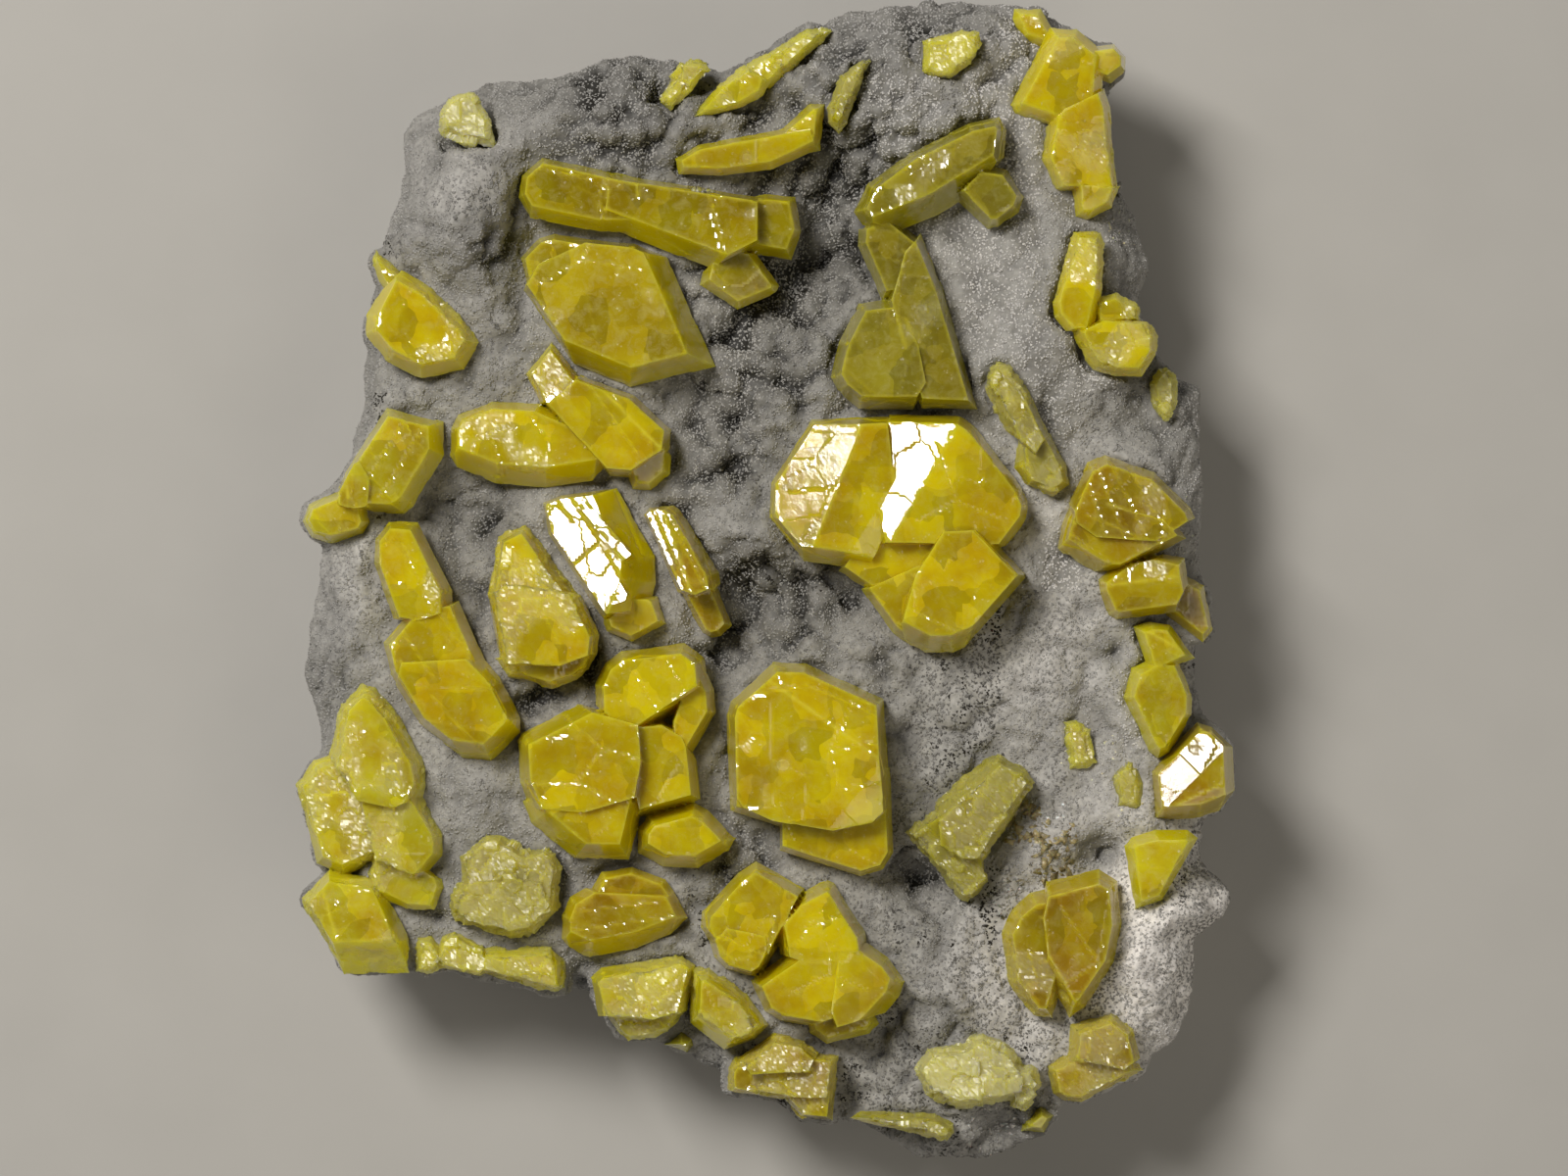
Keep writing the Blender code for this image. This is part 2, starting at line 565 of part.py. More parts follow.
def left_side():
    """The crystals down the left side, from the leaning prism to the long column."""
    crystal("sulfur_leaning_pair", GOLD, [
        grain([(-40.4, 17), (-39.5, 15.5), (-34.5, 13.4), (-28, 12.8), (-22, 13.7), (-20, 16),
               (-22, 20), (-26.5, 22.6), (-29, 23.7), (-35, 24), (-39.3, 22.2), (-40.2, 20.5)],
              6.4, 1.2, (100, 5), bands={"bottom": 2.4}),
        grain([(-28.2, 23.5), (-19.8, 14.3), (-17.5, 14.1), (-12.1, 17.7), (-11.9, 20.4),
               (-16.7, 24.8), (-23.6, 27.4)],
              8.6, 0.9, (225, 5), bands={"bottom_right": 1.6}, facets=((45, 22, 2.4),)),
        grain([(-27.3, 31.7), (-30.6, 27.5), (-28.8, 23.6), (-23, 22), (-22.8, 26), (-26.2, 29.8)],
              7.2, 0.9, (150, 12)),
        grain([(-17.9, 15.4), (-17, 12.6), (-14.5, 12.4), (-12, 14.6), (-11.8, 17), (-13.5, 19)],
              4.6, 0.9, (300, 14)),
    ])
    crystal("sulfur_left_lath", LEMON, [
        grain([(-54, 14.8), (-53.4, 11), (-50, 9.6), (-46.2, 9.5), (-45, 10.5), (-41.1, 17),
               (-41.2, 21.4), (-48.5, 23.2)],
              6.6, 1.1, (330, 6), bands={"bottom_right": 1.9, "right": 1.7}),
        grain([(-54.8, 10.4), (-52.5, 9.7), (-50.2, 9.9), (-49.8, 14), (-51.5, 16.8), (-53.5, 15.6),
               (-54.8, 13)], 8.4, 0.9, (200, 12)),
        grain([(-59.4, 8.6), (-58.2, 6.4), (-55.5, 5.6), (-51.2, 6.6), (-50.2, 8.4), (-51, 11),
               (-55, 12.4), (-58.6, 10.8)], 5.5, 1.1, (220, 8)),
    ])
    crystal("sulfur_left_column", GOLD, [
        grain([(-47.3, -12.5), (-44.3, -17.4), (-38.7, -21.8), (-35, -22.3), (-31.3, -18.5),
               (-31.2, -16.6), (-33.8, -11.5), (-36.5, -8.5), (-46.5, -9)],
              8.2, 1.3, (300, 5), bands={"bottom_right": 2.3, "bottom": 2.4}),
        grain([(-48.9, -7), (-48, -11), (-46, -14.5), (-39, -14), (-35, -11.2), (-39.2, -1.6),
               (-45.5, -3)], 7.2, 1.1, (40, 5)),
        grain([(-50.1, 3), (-47.6, -4), (-44, -4.6), (-40, -3.4), (-40, -0.3), (-44.4, 8.5),
               (-48.2, 8.6), (-50, 6.3)], 6.6, 1.1, (160, 6)),
    ])
    crystal("sulfur_glazed_block", GOLD, [
        grain([(-35.6, -0.8), (-33.8, -10), (-26, -10.3), (-21.4, -8.6), (-21.1, -6), (-23.5, -0.8),
               (-27, 0.5), (-33, 1)], 9.0, 1.1, (250, 4)),
        grain([(-35.6, -1), (-29, -2.5), (-23.4, -1.2), (-30.6, 8.4), (-34.3, 6.7)],
              7.4, 1.3, (70, 9)),
        grain([(-34.6, -9), (-33, -11.6), (-27.3, -13), (-24, -12), (-22.3, -10.6), (-21.2, -8.2),
               (-27, -6)], 5.6, 1.1, (270, 10)),
    ])


def centre():
    """The mirror-faced crystals and the great blocks in the middle."""
    crystal("sulfur_mirror_block", GOLD, [
        grain([(-28.5, 11), (-27.8, 6.9), (-20.8, -4), (-14.8, -2.6), (-13.9, 0.6), (-14, 4.2),
               (-18.9, 12.9), (-26, 12)],
              8.6, 0.8, (135, 15), bands={"right": 3.8, "top_right": 4.2, "bottom": 2.2},
              facets=((40, 24, 3.4),)),
        grain([(-24.2, 2.8), (-20.4, -3), (-17.4, -2), (-16.9, -0.8), (-20.8, 5.9)],
              9.3, 0.3, (135, 15)),
        grain([(-24.4, 10.8), (-18, 2.7), (-16.2, 4.2), (-22.8, 12)], 9.2, 0.3, (135, 15)),
        grain([(-20.8, -4.2), (-20.3, -5.6), (-17, -7), (-12.6, -4.6), (-13.7, -1), (-17, -1)],
              4.8, 0.9, (280, 12)),
    ], transmission=0.5)
    crystal("sulfur_mirror_prism", AMBER, [
        grain([(-15.6, 9.4), (-11.2, -0.6), (-8.8, -1.4), (-6.2, -0.3), (-5.6, 0.6), (-5.8, 2),
               (-10.8, 10.2), (-11.7, 10.7), (-14.8, 10.4)],
              7.6, 0.6, (72, 17), bands={"top_right": 1.4, "right": 1.4}, facets=((135, 15, 1.1),)),
        grain([(-11, -1), (-8.1, -5.9), (-7.1, -6.5), (-5.6, -6.3), (-4.1, -4.8), (-6.2, 0.8),
               (-9, 1.5)], 5.4, 0.9, (290, 8)),
    ], transmission=0.6)
    crystal("sulfur_great_cluster", GOLD, [
        grain([(-31.4, -25), (-30, -28.4), (-23, -29), (-16, -27), (-15.2, -22), (-15.6, -17),
               (-23.9, -14.8), (-31.1, -18.6), (-31.7, -19.6)], 9.2, 1.8, (170, 5)),
        grain([(-17.5, -24), (-16, -29.5), (-8.1, -27.2), (-8.6, -22.2), (-10.2, -18.6), (-13, -17),
               (-16.5, -17.3)], 8.0, 1.2, (330, 7)),
        grain([(-31.1, -27.3), (-30, -30.2), (-24.4, -34.7), (-17.3, -34.9), (-15.5, -28),
               (-18, -25.5), (-27, -25.5)],
              8.6, 1.6, (265, 6), bands={"bottom": 2.3, "bottom_left": 2.9}),
        grain([(-16.3, -34), (-13.1, -35.8), (-8.5, -36), (-4.5, -33.8), (-3.6, -32.1),
               (-7.2, -28.4), (-9, -27.4), (-15, -29), (-16.3, -31)],
              7.0, 1.4, (280, 8), bands={"bottom": 1.9}),
        grain([(-21.8, -12.4), (-21.7, -15), (-19, -17.6), (-15.3, -18.6), (-8.5, -14),
               (-7.3, -11.5), (-7.6, -8.9), (-10.3, -7), (-18.4, -8), (-20.5, -9.6)],
              8.8, 1.3, (110, 7)),
        grain([(-12, -20), (-9.4, -21.6), (-6.2, -16), (-6.4, -13), (-7.5, -10.5), (-9.7, -10.5),
               (-12, -17)], 6.8, 1.1, (10, 9)),
    ])
    crystal("sulfur_great_block", GOLD, [
        grain([(-4.9, -16.3), (-4.6, -26), (-3, -28.2), (1, -30), (8.7, -31.3), (13.9, -30.2),
               (15.8, -28.5), (16.1, -25), (15.3, -14.2), (5.3, -9.6), (1.1, -9.4), (-4.4, -14.5)],
              9.8, 1.2, (200, 2), bands={"bottom": 1.7},
              facets=((180, 11, 4.5), (60, 12, 6.5), (310, 10, 8.5))),
        grain([(1.8, -25), (1.9, -33.7), (12.3, -37), (15.3, -36.1), (16.6, -33.9), (16.2, -23),
               (14, -22)], 6.0, 0.9, (280, 5)),
        grain([(-4.6, -25), (-4.5, -28.6), (-2, -29.4), (2.4, -30.8), (3, -26)],
              7.0, 1.0, (240, 8)),
    ])
    crystal("sulfur_centre_right_group", GOLD, [
        grain([(13, 16), (15, 5.3), (31, 5.2), (33.6, 8.6), (34, 10.6), (33, 12.8), (27, 20.8),
               (25, 22.2), (16, 22.2)], 7.6, 1.3, (330, 5), facets=((150, 15, 5.5),)),
        grain([(0.6, 9), (5, 3.4), (13.3, 2.2), (15, 5), (17, 12), (16, 22), (6, 21.6),
               (0.8, 13.5)],
              8.0, 1.0, (0, 3), bands={"bottom": 1.9}, facets=((155, 19, 0.8), (335, 14, 4.0))),
        grain([(17, -4.5), (18, -7), (20.5, -8.3), (24.1, -8.3), (25.7, -7.6), (33.4, 1.2),
               (33.4, 2), (27.8, 7.8), (22.5, 7.6), (18.8, 1.8)],
              10.2, 1.0, (215, 3), bands={"bottom": 2.3, "bottom_right": 1.3, "top_right": 1.2}),
        grain([(12.3, -0.1), (16.4, -5.8), (18, -7), (20, -4), (21, 4)], 6.4, 1.0, (200, 10)),
        grain([(9.4, 2.2), (12.4, 0.2), (19.4, -0.6), (22, 5.8), (14, 6), (11, 4.6)],
              6.2, 0.9, (255, 7)),
    ])


def lower_right():
    """The crystals from the right rim round to the bottom corner."""
    crystal("sulfur_right_rim_block", LEMON, [
        grain([(45.9, -14), (49.2, -21), (50.4, -21.9), (52, -21.2), (54.8, -16.3), (54.9, -13.5),
               (53.3, -9.6), (48.9, -9.3), (47, -10.2)], 5.0, 1.1, (20, 7)),
        grain([(47.2, -4.9), (49, -10.2), (51, -10.8), (55.3, -9), (52, -4.6), (49.5, -4.2)],
              4.6, 1.0, (240, 8), facets=((60, 18, 1.0),)),
    ])
    crystal("sulfur_mirror_corner", AMBER, [
        grain([(50, -30), (56, -29.6), (58.5, -28.6), (60.5, -26), (60.2, -20.4), (57.5, -17.8),
               (55.6, -17.2), (49.3, -23.4)],
              8.0, 1.0, (135, 4), bands={"bottom": 2.0, "right": 1.7},
              facets=((135, 15, 0.4), (290, 16, 2.2))),
    ])
    crystal("sulfur_right_rim_lath", LEMON, [
        grain([(47.4, -41.2), (51, -40), (55.6, -32), (54.2, -30.9), (50, -30.9), (46.8, -31.9),
               (46, -33)], 4.4, 1.1, (260, 7)),
    ])
    crystal("sulfur_embedded_tablet", LEMON, [
        grain([(38, -17), (39, -23.4), (41.5, -23.4), (42.7, -22.4), (41.8, -18), (40, -16.7)],
              1.8, 0.9, (180, 6), waist=0.4),
    ])
    crystal("sulfur_embedded_strip", CREAM, [
        grain([(44.4, -24.5), (45, -28.3), (48.6, -28.4), (48.6, -25), (47.6, -22), (46, -21.4)],
              1.8, 0.9, (30, 6), waist=0.4),
    ])
    crystal("sulfur_olive_wedge", OLIVE, [
        grain([(22, -33), (25.5, -34.8), (28.3, -35), (34.7, -24.9), (33.9, -23.3), (29.9, -21),
               (28.6, -21.3), (21.6, -27.4)], 8.0, 1.2, (60, 6), bands={"top_left": 1.9}),
        grain([(17.8, -31.4), (25, -39.8), (26.7, -40), (28.9, -37.7), (27, -30), (23.5, -27)],
              7.0, 0.9, (225, 24)),
    ], transmission=0.6)
    crystal("sulfur_oval_crystal", AMBER, [
        grain([(35, -42), (36, -50), (39, -55.1), (41, -53.8), (44.8, -48), (45.8, -43),
               (45.3, -37.5), (42.8, -35.9), (36, -37.5)], 6.4, 1.6, (350, 6)),
        grain([(31, -50.5), (34.3, -54.9), (37, -55.2), (38.5, -50), (38, -38), (34, -39),
               (31.5, -41.2), (30.3, -44)], 5.8, 1.4, (200, 7)),
    ])
    crystal("sulfur_lower_right_group", AMBER, [
        grain([(38.6, -60.5), (46, -62), (48.2, -60.3), (47.3, -56.5), (44.5, -54.3),
               (39.2, -55.9)], 5.4, 1.1, (30, 7)),
        grain([(36, -61.2), (37, -65), (38.5, -65.9), (40.8, -66.1), (49, -62), (48, -61),
               (42, -59.5), (38.3, -60)], 5.6, 1.0, (240, 9)),
    ])
    crystal("sulfur_pale_cushion", CREAM, [
        grain([(19, -61.7), (20.5, -65.2), (24.5, -66.9), (28.2, -66.7), (28, -60), (25, -58.1),
               (20.8, -58.8)], 5.0, 1.3, (170, 8)),
        grain([(25, -62), (27, -66.5), (33.6, -65.5), (33.5, -61.2), (31.5, -58.5), (28, -56.9),
               (26.3, -57.2), (25.5, -58.2)], 5.0, 1.1, (60, 6)),
        grain([(31.5, -66.5), (33.4, -67), (35.9, -63.5), (34.8, -61.1), (31.5, -60.5)],
              4.6, 0.9, (330, 10)),
    ], roughness=0.3)
    crystal("sulfur_bottom_strip", OLIVE, [
        grain([(10.6, -68.1), (23.5, -71.2), (24.5, -70), (24.6, -68.5), (22, -67.2), (12, -67.1)],
              4.4, 1.0, (90, 8)),
    ])
    crystal("sulfur_bottom_chip", OLIVE, [
        grain([(32.9, -70), (36, -70.2), (37.6, -67.7), (35.5, -66.5), (33.2, -68.3)],
              4.4, 1.0, (300, 8)),
    ])


def lower_left():
    """The crystals from the lower left rim along the bottom edge."""
    crystal("sulfur_lower_left_group", LEMON, [
        grain([(-56, -21.5), (-52, -27.5), (-47, -28.5), (-43.8, -27), (-43, -25), (-43.6, -22),
               (-47, -16), (-49.8, -12.6), (-51.5, -12.1), (-54.3, -14.8)], 7.0, 1.6, (40, 6)),
        grain([(-60.3, -25.2), (-57.6, -35.4), (-54, -37), (-49, -35), (-49, -26), (-55, -21),
               (-58, -22)], 5.2, 1.4, (170, 7)),
        grain([(-52, -26.5), (-50, -35), (-45, -37), (-43, -36.4), (-41.2, -34.3), (-41.2, -31.5),
               (-44, -26.2)], 5.6, 1.2, (330, 7)),
        grain([(-51, -39), (-46, -41.2), (-42.4, -41.3), (-41, -38.4), (-41.3, -37.2), (-48, -33),
               (-50.5, -34.2)], 3.2, 1.0, (300, 10)),
        grain([(-59.7, -40), (-54, -49.6), (-45.5, -49.5), (-45.6, -45), (-47.4, -41.2),
               (-50.5, -37), (-56, -36.2)],
              6.2, 1.3, (90, 6), bands={"bottom": 4.3}, facets=((180, 20, 4.0),)),
    ])
    crystal("sulfur_frosted_cluster", CREAM, [
        grain([(-40.7, -39.7), (-40.3, -41.4), (-38.8, -43.4), (-32.5, -45), (-29.4, -44.5),
               (-26.6, -41.5), (-28, -37), (-33, -36), (-39.5, -37.8)], 5.4, 1.2, (260, 8)),
        grain([(-39.3, -34.2), (-38.8, -39), (-31, -39), (-29, -36), (-31, -33.1), (-33.7, -31.5),
               (-35.7, -31.5)], 4.4, 1.0, (120, 8)),
        grain([(-32, -38), (-29, -42.5), (-26.3, -41.3), (-25.9, -35.7), (-26.6, -33.9),
               (-28, -32.8), (-32, -33.8)], 4.8, 1.0, (30, 8)),
    ], roughness=0.3)
    crystal("sulfur_amber_slab", AMBER, [
        grain([(-26.1, -45), (-25, -46.3), (-22.5, -47.5), (-16.5, -46.3), (-12, -44.5),
               (-9.8, -42.3), (-11.5, -39), (-23, -38.4), (-25, -39.6), (-26, -42)],
              5.0, 1.2, (90, 4), bands={"bottom": 2.2}),
        grain([(-22.5, -39), (-22, -41), (-12, -41), (-11.6, -38.8), (-12.7, -37.3), (-17, -35.7),
               (-21, -36.3)], 3.4, 0.9, (70, 10)),
    ])
    crystal("sulfur_bottom_row", LEMON, [
        grain([(-42.2, -46.8), (-41.6, -49), (-36.5, -50.1), (-35, -49.2), (-36, -45.4),
               (-40, -43.9), (-41.6, -44.7)], 5.6, 0.9, (60, 8)),
        grain([(-36.4, -48), (-35.8, -49.8), (-27, -52.1), (-25.4, -51.6), (-25.6, -48),
               (-27.2, -45.6), (-35.9, -46)], 6.2, 1.1, (250, 8)),
        grain([(-45, -49.4), (-43.5, -49.8), (-41.4, -49), (-41.4, -46), (-42.7, -44.5),
               (-45, -44.6)], 4.8, 1.0, (200, 8)),
    ])
    crystal("sulfur_bottom_left_pair", LEMON, [
        grain([(-22.4, -50), (-21.4, -55), (-14, -55.5), (-10, -54.3), (-8.6, -48.2), (-10.5, -47),
               (-21, -48.7)], 6.4, 1.1, (60, 7)),
        grain([(-9.6, -55.8), (-5.2, -59.3), (-1.2, -57.9), (0.6, -56), (-2.3, -51.9), (-7, -48.6),
               (-9.4, -48.6)], 7.4, 1.3, (280, 5), bands={"bottom_left": 2.2}),
        grain([(-21, -54), (-18.6, -57.7), (-17.5, -58.3), (-14, -58), (-11.3, -56.2),
               (-9.8, -54.2), (-13, -51)], 5.4, 0.9, (250, 10)),
    ])
    crystal("sulfur_bottom_group", GOLD, [
        grain([(1.4, -43.5), (2, -47), (5, -48), (10, -48), (13.2, -45.7), (12.9, -44), (9, -37.8),
               (8, -37.3), (5.5, -38.6)], 8.4, 1.2, (150, 5)),
        grain([(8, -54), (9, -56.4), (15.5, -54.5), (17.3, -52.5), (18, -50.4), (15.8, -47.3),
               (13, -45.3), (9, -46.5)],
              7.6, 1.2, (340, 7), bands={"right": 2.2, "bottom_right": 2.2}),
        grain([(-1.9, -50.3), (0, -54.3), (2, -55.5), (6, -56.2), (9.5, -55), (11, -51),
               (10.5, -46.5), (7, -45.8), (3, -46.8)], 8.2, 1.2, (250, 5)),
        grain([(-8.2, -43.5), (-7, -45.5), (-4, -48), (1, -46.5), (5.2, -38.5), (-1.1, -35),
               (-3.4, -36.5), (-8, -41.5)], 7.6, 1.1, (110, 5)),
        grain([(-7.1, -45.3), (-6.5, -47.4), (-5, -48.9), (-1.5, -49.9), (0, -49), (1.6, -46.3),
               (1.2, -44), (-5, -42.8)], 8.0, 1.0, (230, 7)),
        grain([(5, -55.3), (5.8, -57.2), (8, -58.6), (13.5, -57.3), (14.8, -56), (14.3, -54.8),
               (8.5, -54.5)], 4.4, 1.0, (270, 8)),
    ])
    crystal("sulfur_bottom_block", AMBER, [
        grain([(-4.9, -64.8), (2, -65.8), (9, -65.5), (9.7, -59.9), (-1.2, -59.7), (-4, -60.3),
               (-4.9, -61.5)], 7.6, 1.0, (100, 6)),
        grain([(-3.4, -60.3), (-1, -58.9), (1.2, -57), (5, -57.8), (7, -59.6), (6, -62),
               (-2, -62.5)], 7.0, 0.9, (80, 10)),
        grain([(2.6, -66), (4.5, -68.2), (8.8, -68.6), (9.5, -63), (3, -62)], 7.6, 0.9, (260, 8)),
    ])
    crystal("sulfur_bottom_olive_chip", OLIVE, [
        grain([(-13, -58.9), (-10, -60), (-9, -59), (-9.1, -57.9), (-10.8, -57.2)],
              4.0, 1.0, (220, 10)),
    ])


def main():
    for thing in list(bpy.data.objects):
        bpy.data.objects.remove(thing)
    upper_left()
    top_edge()
    upper_right()
    left_side()
    centre()
    lower_right()
    lower_left()
    limestone_matrix()


main()
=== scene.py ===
import json
import math

import bmesh
import bpy
import numpy as np
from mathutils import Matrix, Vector
from mathutils.bvhtree import BVHTree
from mathutils.kdtree import KDTree


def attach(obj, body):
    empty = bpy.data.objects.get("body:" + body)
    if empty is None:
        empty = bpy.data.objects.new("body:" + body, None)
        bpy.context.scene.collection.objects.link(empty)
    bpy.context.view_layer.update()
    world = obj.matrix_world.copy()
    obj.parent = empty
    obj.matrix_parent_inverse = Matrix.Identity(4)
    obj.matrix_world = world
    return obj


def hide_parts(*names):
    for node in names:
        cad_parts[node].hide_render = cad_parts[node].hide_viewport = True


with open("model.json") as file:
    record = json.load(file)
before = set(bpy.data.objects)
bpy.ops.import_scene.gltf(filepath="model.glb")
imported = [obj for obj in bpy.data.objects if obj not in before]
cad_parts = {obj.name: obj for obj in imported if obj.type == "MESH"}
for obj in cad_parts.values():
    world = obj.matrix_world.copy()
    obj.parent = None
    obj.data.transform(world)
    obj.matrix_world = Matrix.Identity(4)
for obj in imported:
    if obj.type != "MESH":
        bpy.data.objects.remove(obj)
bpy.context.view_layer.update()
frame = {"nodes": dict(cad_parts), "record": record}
MM = 0.001


# ---- Studio: the specimen lies face up on a pale table, seen from straight above.
# A softbox stands towards the upper left, where the bright mirror faces look, with a dim card
# beside it that the cream faces look at. A broad weak light at the lower right fills the bands.

VIEW_CENTRE = (2.5 * MM, 0.0)
VIEW_WIDTH = 200 * MM
VIEW_LEVEL = 33 * MM
CAMERA_DISTANCE = 900 * MM
SENSOR_WIDTH = 36.0
TABLE_WIDTH = 4.0


def colour(code):
    """The linear colour of an sRGB hex code."""
    shares = [int(code[place:place + 2], 16) / 255 for place in (1, 3, 5)]
    return tuple(s / 12.92 if s <= 0.04045 else ((s + 0.055) / 1.055) ** 2.4 for s in shares) + (1.0,)


def new_material(name):
    """An empty material with a Principled surface, and its node tree."""
    made = bpy.data.materials.new(name)
    made.use_nodes = True
    return made, made.node_tree


def add_node(tree, kind, settings=None, links=None):
    """One node with its settings, and the outputs that feed its sockets."""
    made = tree.nodes.new(kind)
    for name, value in (settings or {}).items():
        if isinstance(name, str) and hasattr(made, name):
            setattr(made, name, value)
        else:
            made.inputs[name].default_value = value
    for name, source in (links or {}).items():
        tree.links.new(source, made.inputs[name])
    return made


def area_light(name, place, target, size, power, tint):
    """A square softbox that faces a point."""
    lamp = bpy.data.lights.new(name, 'AREA')
    lamp.shape = 'SQUARE'
    lamp.size = size
    lamp.energy = power
    lamp.color = colour(tint)[:3]
    holder = bpy.data.objects.new(name, lamp)
    holder.location = place
    holder.rotation_euler = (Vector(place) - Vector(target)).to_track_quat('Z', 'Y').to_euler()
    bpy.context.scene.collection.objects.link(holder)


camera = bpy.data.objects.new("camera", bpy.data.cameras.new("camera"))
camera.data.sensor_width = SENSOR_WIDTH
camera.data.lens = SENSOR_WIDTH * CAMERA_DISTANCE / VIEW_WIDTH
camera.location = (*VIEW_CENTRE, VIEW_LEVEL + CAMERA_DISTANCE)
bpy.context.scene.collection.objects.link(camera)
bpy.context.scene.camera = camera
bpy.context.scene.view_settings.view_transform = 'Standard'

SPECIMEN_MIDDLE = (0, 0, 30 * MM)
area_light("key_softbox", (-0.36, 0.36, 0.83), SPECIMEN_MIDDLE, 0.28, 9.4, "#fffbf6")
area_light("side_card", (-0.60, 0.22, 0.80), SPECIMEN_MIDDLE, 0.34, 0.15, "#fffdf6")
area_light("broad_fill", (0.50, -0.48, 0.70), SPECIMEN_MIDDLE, 0.90, 3.0, "#fff6e6")

room = bpy.data.worlds.new("room")
bpy.context.scene.world = room
room.use_nodes = True
room.node_tree.nodes["Background"].inputs["Color"].default_value = colour("#eceef2")
room.node_tree.nodes["Background"].inputs["Strength"].default_value = 0.08

bpy.ops.mesh.primitive_plane_add(size=TABLE_WIDTH)
table = bpy.context.object
table.name = "table"

# Painted board, rolled on matt: an even pale grey with a faint mottle and soft shadows
table_paint, tree = new_material("pale_matt_table")
mottle = add_node(tree, "ShaderNodeTexNoise", {"Scale": 60.0, "Detail": 3.0},
                  {"Vector": add_node(tree, "ShaderNodeTexCoord").outputs["Object"]})
table_tone = add_node(tree, "ShaderNodeMix", {"data_type": 'RGBA', 6: colour("#a19f9a"),
                                              7: colour("#a8a6a1")}, {0: mottle.outputs["Fac"]})
surface = tree.nodes["Principled BSDF"]
surface.inputs["Roughness"].default_value = 0.7
tree.links.new(table_tone.outputs[2], surface.inputs["Base Color"])
table.data.materials.append(table_paint)


# ---- Slab of limestone: one broken block, its upper face under a druse of fine grains.
# The crust is botryoidal, with round lumps of a few millimetres that crowd in the hollows,
# and it closes round the foot of every crystal. The sides are broken and the back is flat.

CRUST_VOXEL = 0.635 * MM
CRUST_FOOT = 12 * MM
USUAL_CRUST_LEVEL = 27 * MM
BACK_LEVEL = 0.4 * MM

# Round lumps of three sizes as spacing and height in millimetres, the share of its spacing that a
# lump fills, and the height of the broken relief on the sides in millimetres
LUMP_SIZES = ((4.6, 1.7), (2.7, 1.25), (1.3, 0.3))
LUMP_REACH = 0.74
SIDE_RELIEF = 0.8

# The rock fills the socket round each crystal's foot, in millimetres: how far below the crust it
# stops, how far it goes past the crystal's sides, how much further down in the socket, and how
# far it goes below the foot
FILL_BELOW_CRUST = 0.3
FILL_PAST_SIDES = 0.55
FILL_SPREAD = 1.4
FILL_BELOW_FOOT = 0.8

# Spots of painted shade in the deep hollows where little light comes, with the lumpy ground round
# them, and spots of painted light on pale bare ground, whose depth is negative: x, y and radius in
# millimetres, and depth as a share
SHADE_AND_LIGHT_SPOTS = (
    (4, 58, 18, 0.45), (-19, 62, 9, 0.9), (2, 24, 22, 0.2),
    (36, 12, 12, -0.2), (50, -46, 15, -0.9), (28, -52, 10, -0.2), (-53, 5, 10, -0.15),
    (-38, 54, 8, -0.15), (36, -8, 12, -0.2), (33, -3.5, 1.6, 0.8), (44, -8, 1.4, 0.7),
    (-41, 57.2, 1.1, 0.8), (-36.5, 61, 1.1, 0.7), (-41.5, 54, 1.0, 0.7), (-5, 5, 6, -0.3),
    (-33.5, 43, 3.6, 0.9), (-31, 48, 2.2, 0.6), (-31.5, 33, 3, 0.5), (-3.5, 33, 6, 0.8),
    (4, 40, 6, 0.7), (9, 50, 7, 0.8), (6, 57, 4, 0.6), (11, 42, 4, 0.6), (-6, 22, 6, 0.6),
    (-9, 14, 4, 0.6), (3, 28, 5, 0.45), (-3, 12, 5, 0.4), (-2.5, 0, 4.5, 1.0), (3, -3, 5, 0.8),
    (11, 0, 4, 0.8), (15, -8, 4, 0.5), (-5.5, -7, 3.5, 0.9), (14, 66, 5, 0.6), (22, 73, 5, 0.6),
    (33, 70, 4, 0.5), (-39, 9, 4.5, 0.9), (-37, 26, 4, 0.35), (-37.5, -1, 4, 0.4),
    (-29, -14, 3, 0.6), (-23, -9.5, 3, 0.6), (21, -36.5, 4, 0.8), (19, -44, 5, 0.1),
    (24, -50, 7, 0.05), (21, -57, 4, 0.3), (16, -60, 4, 0.3), (-5, -37.5, 4, 0.8),
    (0, -33, 3, 0.5), (-25, -37, 4, 0.6), (49, 23, 3.5, 0.6), (37, 3, 3, 0.5),
    (43, -34, 2.5, 0.7), (-42, -42.5, 2.5, 0.6), (-52.5, -8.5, 2.2, 0.5), (-56.5, -12, 2, 0.4),
    (36, -69, 3, 0.7), (-10, 8, 3, 0.5), (46, 62, 3, 0.4), (-10, -51, 3, 0.4),
    (25, 12, 3, 0.4), (36, 22, 3, 0.3),
)


def alone(thing):
    """Select one object and make it active."""
    bpy.ops.object.select_all(action='DESELECT')
    thing.select_set(True)
    bpy.context.view_layer.objects.active = thing


def copy_of_node(node, name):
    """A merged copy of a CAD node, with nothing of the node's own left in it."""
    made = bpy.data.objects.new(name, frame["nodes"][node].data.copy())
    made.data.name = name
    made.data.materials.clear()
    bpy.context.scene.collection.objects.link(made)
    alone(made)
    bpy.ops.object.mode_set(mode='EDIT')
    bpy.ops.mesh.select_all(action='SELECT')
    bpy.ops.mesh.remove_doubles(threshold=0.01 * MM)
    bpy.ops.object.mode_set(mode='OBJECT')
    return made


def points_of(mesh):
    """The places of a mesh's points, as an array."""
    places = np.empty(len(mesh.vertices) * 3)
    mesh.vertices.foreach_get("co", places)
    return places.reshape(-1, 3)


def normals_of(mesh):
    """The directions in which a mesh's points face, as an array."""
    ways = np.empty(len(mesh.vertices) * 3)
    mesh.vertices.foreach_get("normal", ways)
    return ways.reshape(-1, 3)


